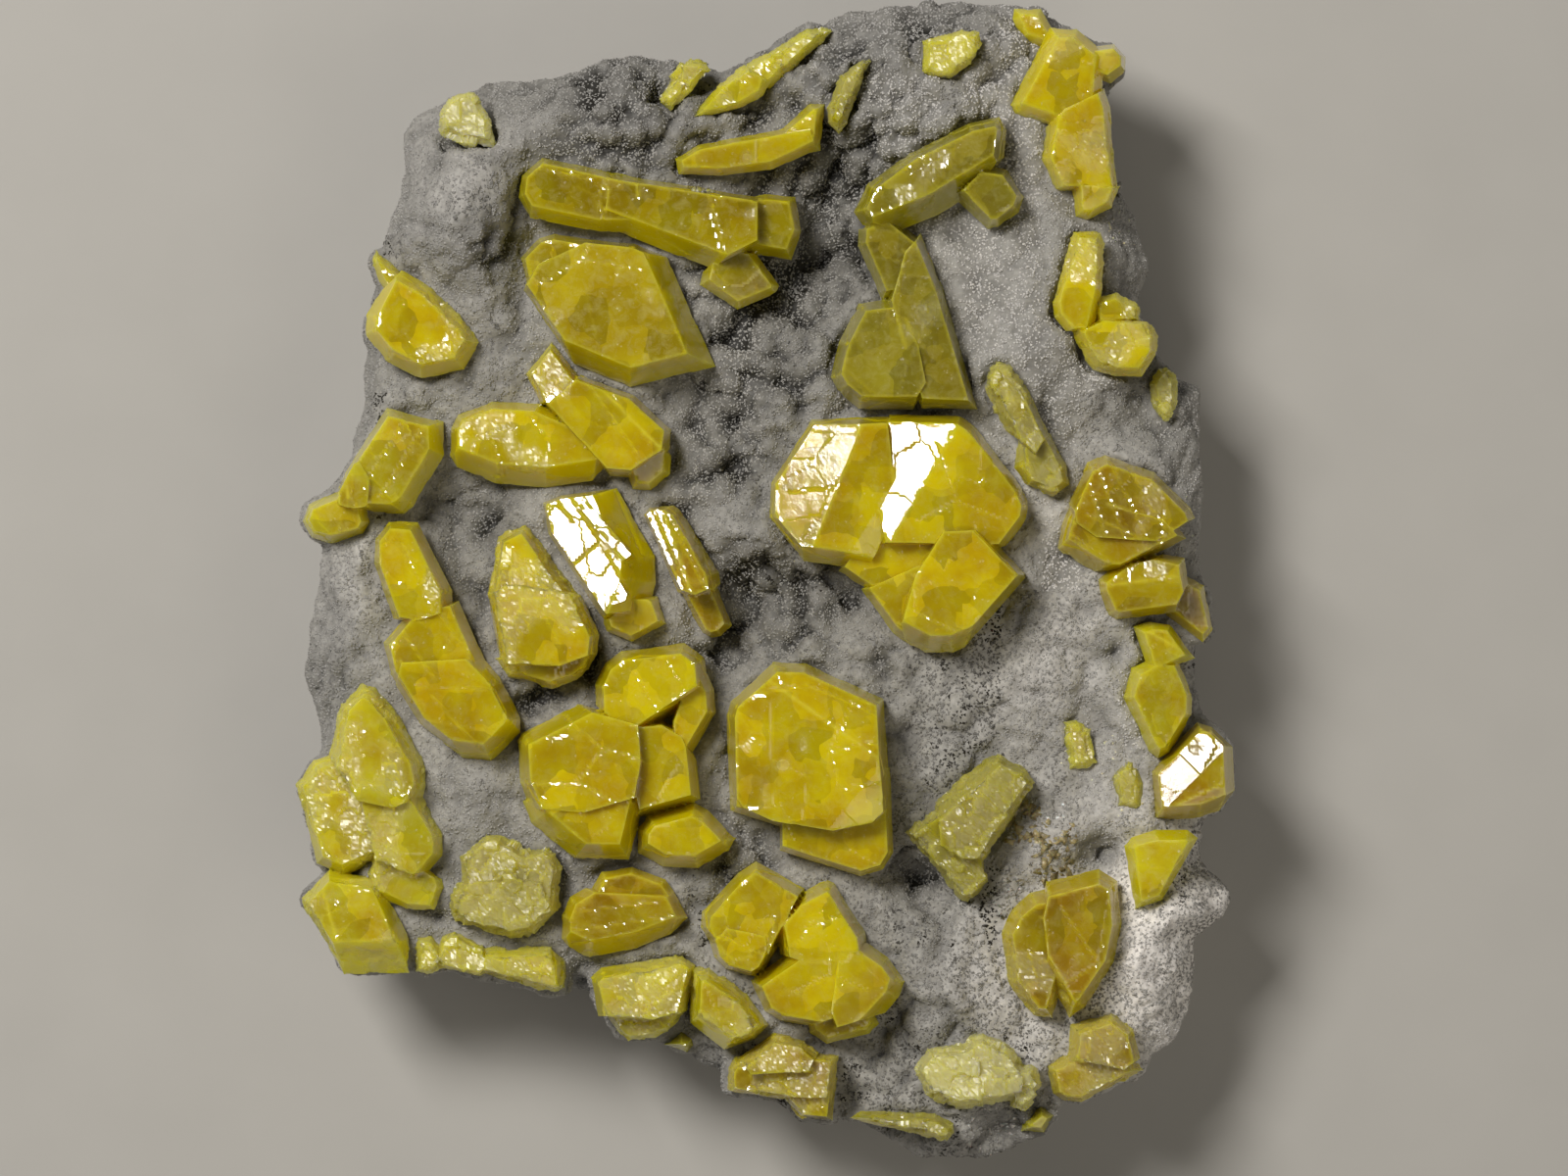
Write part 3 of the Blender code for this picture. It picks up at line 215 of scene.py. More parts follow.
def move_points(mesh, places):
    """Put a mesh's points in new places."""
    mesh.vertices.foreach_set("co", places.ravel())
    mesh.update()


def set_shares(mesh, name, shares):
    """Store a share from 0 to 1 at each point of a mesh, for its material to read."""
    attribute = mesh.attributes.new(name, 'FLOAT', 'POINT')
    attribute.data.foreach_set("value", np.asarray(shares, dtype=np.float32))


def scramble(cells, seed):
    """Three steady random shares for each whole-number cell."""
    mixed = (cells[:, 0] * 73856093) ^ (cells[:, 1] * 19349663) ^ (cells[:, 2] * 83492791)
    mixed = (mixed + seed * 2654435761) & 0xFFFFFFFF
    shares = []
    for _ in range(3):
        mixed = (mixed ^ (mixed >> 15)) * 2246822519 & 0xFFFFFFFF
        mixed = (mixed ^ (mixed >> 13)) * 3266489917 & 0xFFFFFFFF
        shares.append((mixed & 0xFFFFF) / 0x100000)
    return np.stack(shares, 1)


def scattered_cells(places, size, seed):
    """The nearest seed of a scattered pattern: the way to it, its cell, and the border's distance."""
    scaled = places / size
    whole = np.floor(scaled).astype(np.int64)
    nearest = np.full(len(places), 9.0)
    second = np.full(len(places), 9.0)
    offset = np.zeros((len(places), 3))
    owner = np.zeros((len(places), 3), dtype=np.int64)
    for x in (-1, 0, 1):
        for y in (-1, 0, 1):
            for z in (-1, 0, 1):
                cell = whole + (x, y, z)
                away = scaled - cell - scramble(cell, seed)
                distance = np.sqrt((away ** 2).sum(1))
                closer = distance < nearest
                second = np.where(closer, nearest, np.minimum(second, distance))
                nearest[closer] = distance[closer]
                offset[closer] = away[closer]
                owner[closer] = cell[closer]
    return offset, owner, (second - nearest) * size / 2


def smooth_noise(places, size, seed):
    """A soft random field from -1 to 1 with features of about a size."""
    scaled = places / size
    whole = np.floor(scaled).astype(np.int64)
    share = scaled - whole
    share = share * share * (3 - 2 * share)
    total = np.zeros(len(places))
    for x in (0, 1):
        for y in (0, 1):
            for z in (0, 1):
                weight = (np.where(x, share[:, 0], 1 - share[:, 0])
                          * np.where(y, share[:, 1], 1 - share[:, 1])
                          * np.where(z, share[:, 2], 1 - share[:, 2]))
                total += weight * scramble(whole + (x, y, z), seed)[:, 0]
    return total * 2 - 1


def gloom(places):
    """How much painted shade each place gets, from 0 in the open to 1 in the deepest hollows, below 0
    where it gets painted light.
    """
    shade = np.zeros(len(places))
    for x, y, radius, depth in SHADE_AND_LIGHT_SPOTS:
        away = ((places[:, 0] / MM - x) ** 2 + (places[:, 1] / MM - y) ** 2) / radius ** 2
        shade += depth * np.exp(-away)
    return np.clip(shade, -0.8, 1)


CRYSTALS = sorted(name for name in frame["nodes"] if name.startswith("sulfur_"))

slab = copy_of_node("limestone_matrix", "drusy_limestone")

# The open crust's corners, from which its height is read where a crystal stands
crust_shape = bmesh.new()
crust_shape.from_mesh(slab.data)
open_crust = [vert.co.copy() for vert in crust_shape.verts if vert.co.z > CRUST_FOOT
              and any(0.3 < face.normal.z < 0.9999 for face in vert.link_faces)]
crust_shape.free()
crust_levels = KDTree(len(open_crust))
for number, place in enumerate(open_crust):
    crust_levels.insert(place, number)
crust_levels.balance()


def crust_level(x, y):
    """Height of the open crust near a point of the plan, in metres."""
    near = crust_levels.find_n((x, y, USUAL_CRUST_LEVEL), 5)
    weights = [1 / (distance + MM) for _, _, distance in near]
    return sum(weight * place.z for weight, (place, _, _) in zip(weights, near)) / sum(weights)


# The sockets are filled round the crystals, and slab and fills are made one skin
fills = []
for name in CRYSTALS:
    fill = copy_of_node(name, "fill_" + name)
    places = points_of(fill.data)
    outward = normals_of(fill.data) * (1, 1, 0)
    levels = np.array([crust_level(x, y) for x, y, _ in places]) - FILL_BELOW_CRUST * MM
    lowest = places[:, 2].min()
    buried = np.clip((levels - places[:, 2]) / (4 * MM), 0, 1)
    buried = np.maximum(buried, places[:, 2] < lowest + 3.5 * MM)
    places += outward * (FILL_PAST_SIDES + FILL_SPREAD * buried)[:, None] * MM
    places[:, 2] = np.where(buried > 0.7, lowest - FILL_BELOW_FOOT * MM,
                            np.minimum(places[:, 2], levels))
    move_points(fill.data, places)
    fills.append(fill)
alone(slab)
for fill in fills:
    fill.select_set(True)
bpy.ops.object.join()
remesh = slab.modifiers.new("remesh", 'REMESH')
remesh.mode = 'VOXEL'
remesh.voxel_size = CRUST_VOXEL
bpy.ops.object.modifier_apply(modifier="remesh")
smooth = slab.modifiers.new("smooth", 'SMOOTH')
smooth.factor = 0.5
smooth.iterations = 6
bpy.ops.object.modifier_apply(modifier="smooth")

# The skin's points move out and in: round lumps on the crust, a rough break on the sides
places = points_of(slab.data)
ways = normals_of(slab.data)
facing_up = np.clip((ways[:, 2] + 0.1) / 0.5, 0, 1)
raised = np.clip((places[:, 2] - CRUST_FOOT) / (5 * MM), 0, 1)
on_crust = facing_up * raised
shade = gloom(places)
lumpiness = np.clip(0.5 + 1.0 * shade + 0.5 * smooth_noise(places, 16 * MM, 5), 0.3, 1.3)
shift = np.zeros(len(places))
crevice_shade = np.zeros(len(places))
for number, (size, height) in enumerate(LUMP_SIZES):
    offset, _, _ = scattered_cells(places, size * MM, number)
    reach = np.sqrt((offset ** 2).sum(1)) / LUMP_REACH
    dome = np.sqrt(np.clip(1 - reach ** 2, 0, 1)) - 0.7
    shift += dome * height * MM * (lumpiness if number < 2 else 1)
    crevice_shade += np.clip(-dome, 0, 0.7) * height / 1.9
broken = 0.9 * smooth_noise(places, 4 * MM, 11) + 0.5 * smooth_noise(places, 1.7 * MM, 12)
above_back = np.clip((places[:, 2] - BACK_LEVEL) / (1.5 * MM), 0, 1)
shift = shift * on_crust + broken * SIDE_RELIEF * MM * (1 - on_crust) * above_back
move_points(slab.data, places + ways * shift[:, None])
# Painted shade in the listed dark spots and in the crevices between the lumps, and painted light in the
# listed pale spots, kept at each point for the rock and the grains to read
painted_shade_share = np.clip(0.1 + 0.45 * shade + crevice_shade * (0.34 + 0.9 * shade) * on_crust, 0, 1)
painted_light_share = np.clip(-shade * 1.5, 0, 1)
set_shares(slab.data, "painted_dark", painted_shade_share)
set_shares(slab.data, "pale", painted_light_share)

# The flat back needs few faces
alone(slab)
bpy.ops.object.mode_set(mode='EDIT')
bpy.ops.mesh.select_all(action='DESELECT')
bpy.ops.object.mode_set(mode='OBJECT')
for face in slab.data.polygons:
    face.select = face.normal.z < -0.97 and face.center.z < BACK_LEVEL
bpy.ops.object.mode_set(mode='EDIT')
bpy.ops.mesh.dissolve_limited(angle_limit=math.radians(8))
bpy.ops.object.mode_set(mode='OBJECT')
bpy.ops.object.shade_smooth()

# Limestone, broken and crusted: a dull mid grey with a fine speckle, with painted shade in dark brown
# in the hollows and between the lumps, and painted light that makes it chalky pale where it lies bare
rock, tree = new_material("drusy_limestone_rock")
place_in_rock = add_node(tree, "ShaderNodeTexCoord").outputs["Object"]
broad = add_node(tree, "ShaderNodeTexNoise", {"Scale": 1 / (26 * MM), "Detail": 3.0},
                 {"Vector": place_in_rock})
base_tone = add_node(tree, "ShaderNodeMix", {"data_type": 'RGBA', 6: colour("#8d8b85"),
                                             7: colour("#a3a19c")}, {0: broad.outputs["Fac"]})
# Painted light: a chalky pale where the ground lies bare
on_painted_light = add_node(tree, "ShaderNodeAttribute", {"attribute_name": "pale"})
painted_light_tone = add_node(tree, "ShaderNodeMix", {"data_type": 'RGBA', 7: colour("#dedad5")},
                     {0: on_painted_light.outputs["Fac"], 6: base_tone.outputs[2]})
# Painted shade: near black brown in the hollows and between the lumps
in_painted_shade = add_node(tree, "ShaderNodeAttribute", {"attribute_name": "painted_dark"})
painted_shade_tone = add_node(tree, "ShaderNodeMix", {"data_type": 'RGBA', 7: colour("#1b1912")},
                     {0: in_painted_shade.outputs["Fac"], 6: painted_light_tone.outputs[2]})
fine = add_node(tree, "ShaderNodeTexNoise", {"Scale": 1 / (0.9 * MM), "Detail": 4.0, "Roughness": 0.7},
                {"Vector": place_in_rock})
speckle = add_node(tree, "ShaderNodeMapRange", {"From Min": 0.35, "From Max": 0.65, "To Min": 0.72,
                                                "To Max": 1.12}, {"Value": fine.outputs["Fac"]})
toned = add_node(tree, "ShaderNodeMix", {"data_type": 'RGBA', "blend_type": 'MULTIPLY', 0: 1.0},
                 {6: painted_shade_tone.outputs[2], 7: speckle.outputs[0]})
relief = add_node(tree, "ShaderNodeBump", {"Strength": 0.6, "Distance": 0.25 * MM},
                  {"Height": fine.outputs["Fac"]})
surface = tree.nodes["Principled BSDF"]
surface.inputs["Roughness"].default_value = 0.62
surface.inputs["Subsurface Weight"].default_value = 0.15
surface.inputs["Subsurface Radius"].default_value = (1.0, 0.9, 0.8)
surface.inputs["Subsurface Scale"].default_value = 0.6 * MM
tree.links.new(toned.outputs[2], surface.inputs["Base Color"])
tree.links.new(relief.outputs["Normal"], surface.inputs["Normal"])
slab.data.materials.append(rock)
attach(slab, "root")
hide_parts("limestone_matrix")


# ---- Grains of the druse: tiny glassy points that cover the crust and make it sparkle.
# Each is a stub with three sides and two points, about half a millimetre across, set in the
# crust at its own angle. They are joined in sheets that cover a strip of the slab each.

GRAIN_COUNT = 128000
GRAIN_SHEETS = 5
SMALLEST_GRAIN, LARGEST_GRAIN = 0.15, 0.33
GRAINS_FOOT = 13 * MM


def spread_over(mesh, count, random, wanted):
    """Random places on a mesh, the way it faces there, and the nearest of its points."""
    mesh.calc_loop_triangles()
    corners = np.empty(len(mesh.loop_triangles) * 3, dtype=np.int64)
    mesh.loop_triangles.foreach_get("vertices", corners)
    corners = corners.reshape(-1, 3)
    places = points_of(mesh)
    first, second, third = (places[corners[:, side]] for side in range(3))
    across = np.cross(second - first, third - first)
    area = np.linalg.norm(across, axis=1)
    across /= np.maximum(area, 1e-12)[:, None]
    area = area * wanted(first, across)
    chosen = random.choice(len(area), count, p=area / area.sum())
    along, beside = random.random((2, count))
    folded = along + beside > 1
    along[folded] = 1 - along[folded]
    beside[folded] = 1 - beside[folded]
    spots = (first[chosen] + (second - first)[chosen] * along[:, None]
             + (third - first)[chosen] * beside[:, None])
    return spots, across[chosen], corners[chosen, 0]


def mesh_from(name, places, faces):
    """An object made from arrays of points and triangles."""
    made = bpy.data.meshes.new(name)
    made.vertices.add(len(places))
    made.vertices.foreach_set("co", np.asarray(places, dtype=np.float32).ravel())
    made.loops.add(faces.size)
    made.loops.foreach_set("vertex_index", faces.ravel().astype(np.int32))
    made.polygons.add(len(faces))
    made.polygons.foreach_set("loop_start", np.arange(0, faces.size, faces.shape[1], dtype=np.int32))
    made.update(calc_edges=True)
    thing = bpy.data.objects.new(name, made)
    bpy.context.scene.collection.objects.link(thing)
    return thing


STUB_FACES = np.array([(0, 1, 3), (1, 2, 3), (2, 0, 3), (1, 0, 4), (2, 1, 4), (0, 2, 4)])
STUB_POINTS = 5
STUB_ROOT = 0.8


def stubs(name, spots, ways, sizes, random, tilt=0.28, height=0.55):
    """Three-sided stubs with a point at each end, one at each spot."""
    count = len(spots)
    up = ways + random.normal(0, tilt, (count, 3))
    up /= np.linalg.norm(up, axis=1)[:, None]
    side = np.cross(up, random.normal(0, 1, (count, 3)))
    side /= np.maximum(np.linalg.norm(side, axis=1), 1e-9)[:, None]
    other = np.cross(up, side)
    points = []
    for turn in range(3):
        angle = 2 * math.pi * turn / 3
        reach = sizes * random.uniform(0.75, 1.15, count)
        points.append(spots + (side * math.cos(angle) + other * math.sin(angle)) * reach[:, None])
    points.append(spots + up * (sizes * height * random.uniform(0.6, 1.1, count))[:, None])
    points.append(spots - up * (sizes * STUB_ROOT)[:, None])
    places = np.stack(points, 1).reshape(-1, 3)
    faces = (STUB_FACES[None] + STUB_POINTS * np.arange(count)[:, None, None]).reshape(-1, 3)
    return mesh_from(name, places, faces)


def tree_of(things):
    """One search tree over several objects' meshes."""
    places, faces = [], []
    for thing in things:
        start = len(places)
        places += [vert.co for vert in thing.data.vertices]
        faces += [[start + corner for corner in face.vertices] for face in thing.data.polygons]
    return BVHTree.FromPolygons(places, faces)


# Grains lie on the crust wherever no crystal is above them
crystal_tree = tree_of([frame["nodes"][name] for name in CRYSTALS])
random = np.random.default_rng(7)
spots, ways, nearest = spread_over(
    slab.data, GRAIN_COUNT, random,
    lambda places, across: (places[:, 2] > GRAINS_FOOT) * np.clip(across[:, 2] + 0.35, 0, 1) ** 0.5)
clear_sky = np.array([crystal_tree.ray_cast(Vector(spot), Vector((0, 0, 1)))[0] is None
                      for spot in spots])
spots, ways, nearest = spots[clear_sky], ways[clear_sky], nearest[clear_sky]

# Calcite, grown in tiny crystals: pale translucent grey points, a few of them glassy and so glinting,
# with the crust's painted shade in the hollows and its painted light on the bare ground
druse, tree = new_material("glassy_calcite_druse")
place_in_druse = add_node(tree, "ShaderNodeTexCoord").outputs["Object"]
patches = add_node(tree, "ShaderNodeTexNoise", {"Scale": 1 / (18 * MM), "Detail": 3.0},
                   {"Vector": place_in_druse})
druse_tone = add_node(tree, "ShaderNodeMix", {"data_type": 'RGBA', 6: colour("#94928d"),
                                              7: colour("#acaaa6")}, {0: patches.outputs["Fac"]})
# Painted light on the pale bare ground
on_painted_light = add_node(tree, "ShaderNodeAttribute", {"attribute_name": "pale"})
druse_painted_light = add_node(tree, "ShaderNodeMix", {"data_type": 'RGBA', 7: colour("#c4c1bd")},
                      {0: on_painted_light.outputs["Fac"], 6: druse_tone.outputs[2]})
# Painted shade in the hollows and between the lumps
in_painted_shade = add_node(tree, "ShaderNodeAttribute", {"attribute_name": "painted_dark"})
druse_painted_shade = add_node(tree, "ShaderNodeMix", {"data_type": 'RGBA', 7: colour("#211e16")},
                      {0: in_painted_shade.outputs["Fac"], 6: druse_painted_light.outputs[2]})
each = add_node(tree, "ShaderNodeTexVoronoi", {"Scale": 1 / (0.55 * MM)}, {"Vector": place_in_druse})
spread = add_node(tree, "ShaderNodeMapRange", {"To Min": 0.75, "To Max": 1.12},
                  {"Value": each.outputs["Color"]})
druse_mixed = add_node(tree, "ShaderNodeMix", {"data_type": 'RGBA', "blend_type": 'MULTIPLY', 0: 1.0},
                       {6: druse_painted_shade.outputs[2], 7: spread.outputs[0]})
surface = tree.nodes["Principled BSDF"]
glassy = add_node(tree, "ShaderNodeMapRange", {"From Min": 0.03, "From Max": 0.05, "To Min": 0.06,
                                               "To Max": 0.75}, {"Value": each.outputs["Color"]})
tree.links.new(glassy.outputs[0], surface.inputs["Roughness"])
surface.inputs["IOR"].default_value = 1.62
surface.inputs["Specular IOR Level"].default_value = 0.22
surface.inputs["Subsurface Weight"].default_value = 0.35
surface.inputs["Subsurface Radius"].default_value = (1.0, 0.95, 0.9)
surface.inputs["Subsurface Scale"].default_value = 0.5 * MM
tree.links.new(druse_mixed.outputs[2], surface.inputs["Base Color"])

order = np.argsort(spots[:, 1])
for number, sheet in enumerate(np.array_split(order, GRAIN_SHEETS)):
    sizes = random.uniform(SMALLEST_GRAIN, LARGEST_GRAIN, len(sheet)) * MM
    grains = stubs(f"druse_grains_{number}", spots[sheet], ways[sheet], sizes, random)
    # Each grain takes the painted shade and painted light of the crust point under it
    set_shares(grains.data, "painted_dark", np.repeat(painted_shade_share[nearest[sheet]], STUB_POINTS))
    set_shares(grains.data, "pale", np.repeat(painted_light_share[nearest[sheet]], STUB_POINTS))
    grains.data.materials.append(druse)
    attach(grains, "root")


# ---- Rubble: shards of brown rock, white calcite and cream crust that lodge on the slab.
# Most lie in the broken ground at the lower right, and cream crumbs line the right edge.
# Each kind is one joined mesh of sharp stubs, half a millimetre to three across.

SHARD_SINK = 0.4

# Name, spots as x, y and radius, how many, the range of their sizes, and their two tones. The
# measures are millimetres.
RUBBLE = (
    ("brown_shards", ((33.4, -30.2, 2.8), (37.2, -34.4, 3.0), (39, -31.4, 1.4)), 130, (0.5, 1.4),
     "#6f6448", "#a19468"),
    ("white_shards", ((34.8, -28.0, 1.3), (37.5, -28.4, 1.2), (41.4, -32.0, 0.8),
                      (-26.5, -36.4, 1.4)), 48, (0.35, 0.8), "#bdbfbd", "#e4e6e6"),
    ("cream_shards", ((42.6, -21.5, 4.2), (46.0, -26.5, 3.0), (54.4, 6.0, 2.2), (54.6, 12.5, 2.2),
                      (54.0, -2.0, 2.2), (47.0, 47.0, 3.0), (29.5, -66.0, 2.0)), 230, (0.3, 0.75),
     "#b3ae86", "#d3cfae"),
    ("grey_shards", ((29.0, -69.6, 3.6), (31.5, -39.5, 2.8), (49.5, -33.0, 2.6)), 120, (0.45, 1.0),
     "#77756f", "#b2b0aa"),
)


def on_spots(spots):
    """A chooser of the upward ground within a few round spots of the plan."""
    def wanted(places, across):
        inside = np.zeros(len(places), dtype=bool)
        for x, y, radius in spots:
            inside |= np.hypot(places[:, 0] / MM - x, places[:, 1] / MM - y) < radius
        return inside * (places[:, 2] > GRAINS_FOOT) * np.clip(across[:, 2], 0, 1)
    return wanted


for name, spots, count, (smallest, largest), first_tone, second_tone in RUBBLE:
    found, ways, _ = spread_over(slab.data, count, random, on_spots(spots))
    shards = stubs(name, found - ways * SHARD_SINK * MM, ways,
                   random.uniform(smallest, largest, count) * MM, random, tilt=0.8, height=0.9)

    # Broken limestone or calcite: clean fractures with a soft sheen, mottled in two tones
    stone, tree = new_material(name + "_stone")
    tones = add_node(tree, "ShaderNodeTexNoise", {"Scale": 1 / (0.8 * MM), "Detail": 4.0}, {
        "Vector": add_node(tree, "ShaderNodeTexCoord").outputs["Object"]})
    contrast = add_node(tree, "ShaderNodeMapRange", {"From Min": 0.4, "From Max": 0.6},
                        {"Value": tones.outputs["Fac"]})
    mixed = add_node(tree, "ShaderNodeMix", {"data_type": 'RGBA', 6: colour(first_tone),
                                             7: colour(second_tone)}, {0: contrast.outputs[0]})
    surface = tree.nodes["Principled BSDF"]
    surface.inputs["Roughness"].default_value = 0.4
    surface.inputs["Subsurface Weight"].default_value = 0.2
    surface.inputs["Subsurface Scale"].default_value = 0.5 * MM
    tree.links.new(mixed.outputs[2], surface.inputs["Base Color"])
    shards.data.materials.append(stone)
    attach(shards, "root")


# ---- Sulfur: orthorhombic crystals, brittle and resinous, clear yellow and strongly refracting.
# Thick crystals look golden inside, sharp edges catch the light as lemon lines, and etched
# patches are pale, hackly and full of glints. Growth steps cross the larger faces.

# The optics of sulfur: a high refractive index, and light that reaches some millimetres in and
# comes out yellow, since blue is absorbed
SULFUR_IOR = 1.98
SCATTER_REACH, SCATTER_COLOUR = 4.5 * MM, (1.0, 0.92, 0.08)
ABSORPTION, ABSORBED_TINT = 130.0, (1.0, 0.96, 0.12, 1.0)

# The cells of each crystal's mesh, then its relief: growth steps, the hackle of etched patches,
# sharp edges, grooves along cleavage, and the small blocks that corroded crystals fall into
CRYSTAL_CELL = 0.34 * MM
STEP_SIZE, STEP_HEIGHT, STEP_TILT = 6.5 * MM, 0.1 * MM, 0.02
HACKLE_SIZE, HACKLE_HEIGHT = 0.8 * MM, 0.2 * MM
# How far the painted highlight reaches from an edge, step border or seam, and the spacing of points
# along the edges
EDGE_REACH, EDGE_SPACING = 0.4 * MM, 0.3 * MM
SHARP_ANGLE, FLAT_ANGLE = math.radians(12), math.radians(0.6)
GROOVE_REACH, GROOVE_DEPTH = 0.24 * MM, 0.16 * MM
BLOCK_SIZE, BLOCK_TILT, BLOCK_HEIGHT = 2.6 * MM, 0.42, 0.5 * MM


def sulfur(name, body, core, edge, haze=0.18, roughness=0.06, clear=0.25):
    """Sulfur, as grown: resinous and part clear, in its own colours, milky where it is etched, with
    painted light on its sloped faces and a painted highlight along its edges.
    """
    made, tree = new_material(name)
    place = add_node(tree, "ShaderNodeTexCoord").outputs["Object"]
    cloud = add_node(tree, "ShaderNodeTexNoise", {"Scale": 1 / (8 * MM), "Detail": 5.0,
                                                  "Roughness": 0.6}, {"Vector": place})
    cloudy = add_node(tree, "ShaderNodeMapRange", {"From Min": 0.38, "From Max": 0.62},
                      {"Value": cloud.outputs["Fac"]})
    inside = add_node(tree, "ShaderNodeMix", {"data_type": 'RGBA', 6: colour(body), 7: colour(core)},
                      {0: cloudy.outputs[0]})
    bend = add_node(tree, "ShaderNodeTexNoise", {"Scale": 1 / (5 * MM), "Detail": 2.0},
                    {"Vector": place})
    bent = add_node(tree, "ShaderNodeMix", {"data_type": 'RGBA', "blend_type": 'LINEAR_LIGHT',
                                            0: 1.6 * MM}, {6: place, 7: bend.outputs["Color"]})
    domain = add_node(tree, "ShaderNodeTexVoronoi", {"Scale": 1 / (4.2 * MM), "Randomness": 0.9,
                                                     "distance": 'CHEBYCHEV'},
                      {"Vector": bent.outputs[2]})
    tone = add_node(tree, "ShaderNodeMapRange", {"From Min": 0.25, "From Max": 0.75, "To Min": 0.8,
                                                 "To Max": 1.16}, {"Value": domain.outputs["Color"]})
    grown = add_node(tree, "ShaderNodeMix", {"data_type": 'RGBA', "blend_type": 'MULTIPLY', 0: 1.0},
                     {6: inside.outputs[2], 7: tone.outputs[0]})
    # Painted light: faces that slope away from level take the brighter edge colour, standing in for
    # light that glows through the crystal
    facing = add_node(tree, "ShaderNodeSeparateXYZ", {}, {
        "Vector": add_node(tree, "ShaderNodeNewGeometry").outputs["True Normal"]})
    painted_glow_share = add_node(tree, "ShaderNodeMapRange", {"From Min": 0.96, "From Max": 0.7, "To Max": 0.75},
                     {"Value": facing.outputs["Z"]})
    glow_painted = add_node(tree, "ShaderNodeMix", {"data_type": 'RGBA', 7: colour(edge)},
                      {0: painted_glow_share.outputs[0], 6: grown.outputs[2]})
    veil = add_node(tree, "ShaderNodeTexNoise", {"Scale": 1 / (1.5 * MM), "Detail": 6.0,
                                                 "Roughness": 0.7, "Distortion": 0.5},
                    {"Vector": place})
    veiled = add_node(tree, "ShaderNodeMapRange", {"From Min": 0.46, "From Max": 0.72,
                                                   "To Max": haze}, {"Value": veil.outputs["Fac"]})
    etched = add_node(tree, "ShaderNodeAttribute", {"attribute_name": "etch"})
    frost = add_node(tree, "ShaderNodeMath", {"operation": 'MULTIPLY_ADD', 1: 0.3},
                     {0: etched.outputs["Fac"], 2: veiled.outputs[0]})
    milky = add_node(tree, "ShaderNodeMix", {"data_type": 'RGBA', 7: colour("#d8d18c")},
                     {0: frost.outputs[0], 6: glow_painted.outputs[2]})
    dust = add_node(tree, "ShaderNodeTexVoronoi", {"Scale": 1 / (0.24 * MM)}, {"Vector": place})
    rare = add_node(tree, "ShaderNodeMapRange", {"From Min": 0.1, "From Max": 0.07, "To Max": 3.0},
                    {"Value": dust.outputs["Color"]})
    specks = add_node(tree, "ShaderNodeMath", {"operation": 'MULTIPLY'},
                      {0: rare.outputs[0], 1: veiled.outputs[0]})
    dusted = add_node(tree, "ShaderNodeMix", {"data_type": 'RGBA', 7: colour("#f4efc4")},
                      {0: specks.outputs[0], 6: milky.outputs[2]})
    # Painted highlight: a bright lemon line, varied by the cloud, along sharp edges, grooves, step
    # borders and seams
    edge_highlight_attribute = add_node(tree, "ShaderNodeAttribute", {"attribute_name": "edge"})
    highlight_share = add_node(tree, "ShaderNodeMath", {"operation": 'MULTIPLY'},
                          {0: edge_highlight_attribute.outputs["Fac"], 1: cloud.outputs["Fac"]})
    highlighted = add_node(tree, "ShaderNodeMix", {"data_type": 'RGBA', 7: colour("#f0e64c")},
                     {0: highlight_share.outputs[0], 6: dusted.outputs[2]})
    dulled = add_node(tree, "ShaderNodeMapRange", {"From Max": 0.5, "To Min": roughness,
                                                   "To Max": roughness + 0.28},
                      {"Value": etched.outputs["Fac"]})
    relief = add_node(tree, "ShaderNodeBump", {"Strength": 0.2, "Distance": 0.1 * MM},
                      {"Height": veil.outputs["Fac"]})
    surface = tree.nodes["Principled BSDF"]
    surface.inputs["IOR"].default_value = SULFUR_IOR
    surface.inputs["Transmission Weight"].default_value = clear
    surface.inputs["Specular IOR Level"].default_value = 0.24
    surface.inputs["Subsurface Weight"].default_value = 0.9
    surface.inputs["Subsurface Radius"].default_value = SCATTER_COLOUR
    surface.inputs["Subsurface Scale"].default_value = SCATTER_REACH
    tree.links.new(dulled.outputs[0], surface.inputs["Roughness"])
    tree.links.new(highlighted.outputs[2], surface.inputs["Base Color"])
    tree.links.new(relief.outputs["Normal"], surface.inputs["Normal"])
    depth = add_node(tree, "ShaderNodeVolumeAbsorption", {"Color": ABSORBED_TINT,
                                                          "Density": ABSORPTION})
    tree.links.new(depth.outputs["Volume"], tree.nodes["Material Output"].inputs["Volume"])
    return made


# The finishes, by what each gives the eye: clear gold, smoky gold, dull mustard, brownish amber,
# bright lemon, greenish olive, and two that are frosted all over, the second nearly white
# The third colour of each finish is the painted light on its sloped faces
GOLDEN = sulfur("golden_sulfur", "#d3c200", "#bea200", "#ecdc00")
DUSKY = sulfur("dusky_golden_sulfur", "#ab9d04", "#978200", "#e2d400", haze=0.26)
MUSTARD = sulfur("mustard_sulfur", "#bfae16", "#aa940a", "#e6d802", haze=0.36)
AMBER = sulfur("amber_sulfur", "#b4a20a", "#9c7c04", "#d6c200")
LEMON = sulfur("lemon_sulfur", "#d0c61c", "#baa20c", "#eae010", haze=0.3)
OLIVE = sulfur("olive_sulfur", "#a89f2a", "#948618", "#c4bb1c", haze=0.3, clear=0.35)
FROSTED = sulfur("frosted_sulfur", "#ada43a", "#9a8c1c", "#c4bb30", haze=0.4, roughness=0.14)
PALE = sulfur("pale_frosted_sulfur", "#d0cb8c", "#bdb668", "#dcd780", haze=0.6, roughness=0.16)
SLOT_FINISH = {"golden_sulfur": GOLDEN, "amber_sulfur": AMBER, "lemon_sulfur": LEMON,
               "olive_sulfur": OLIVE, "frosted_sulfur": FROSTED}
SLOT_OF = {row["node"]: row["material_slot"] for row in frame["record"]["subparts"]}

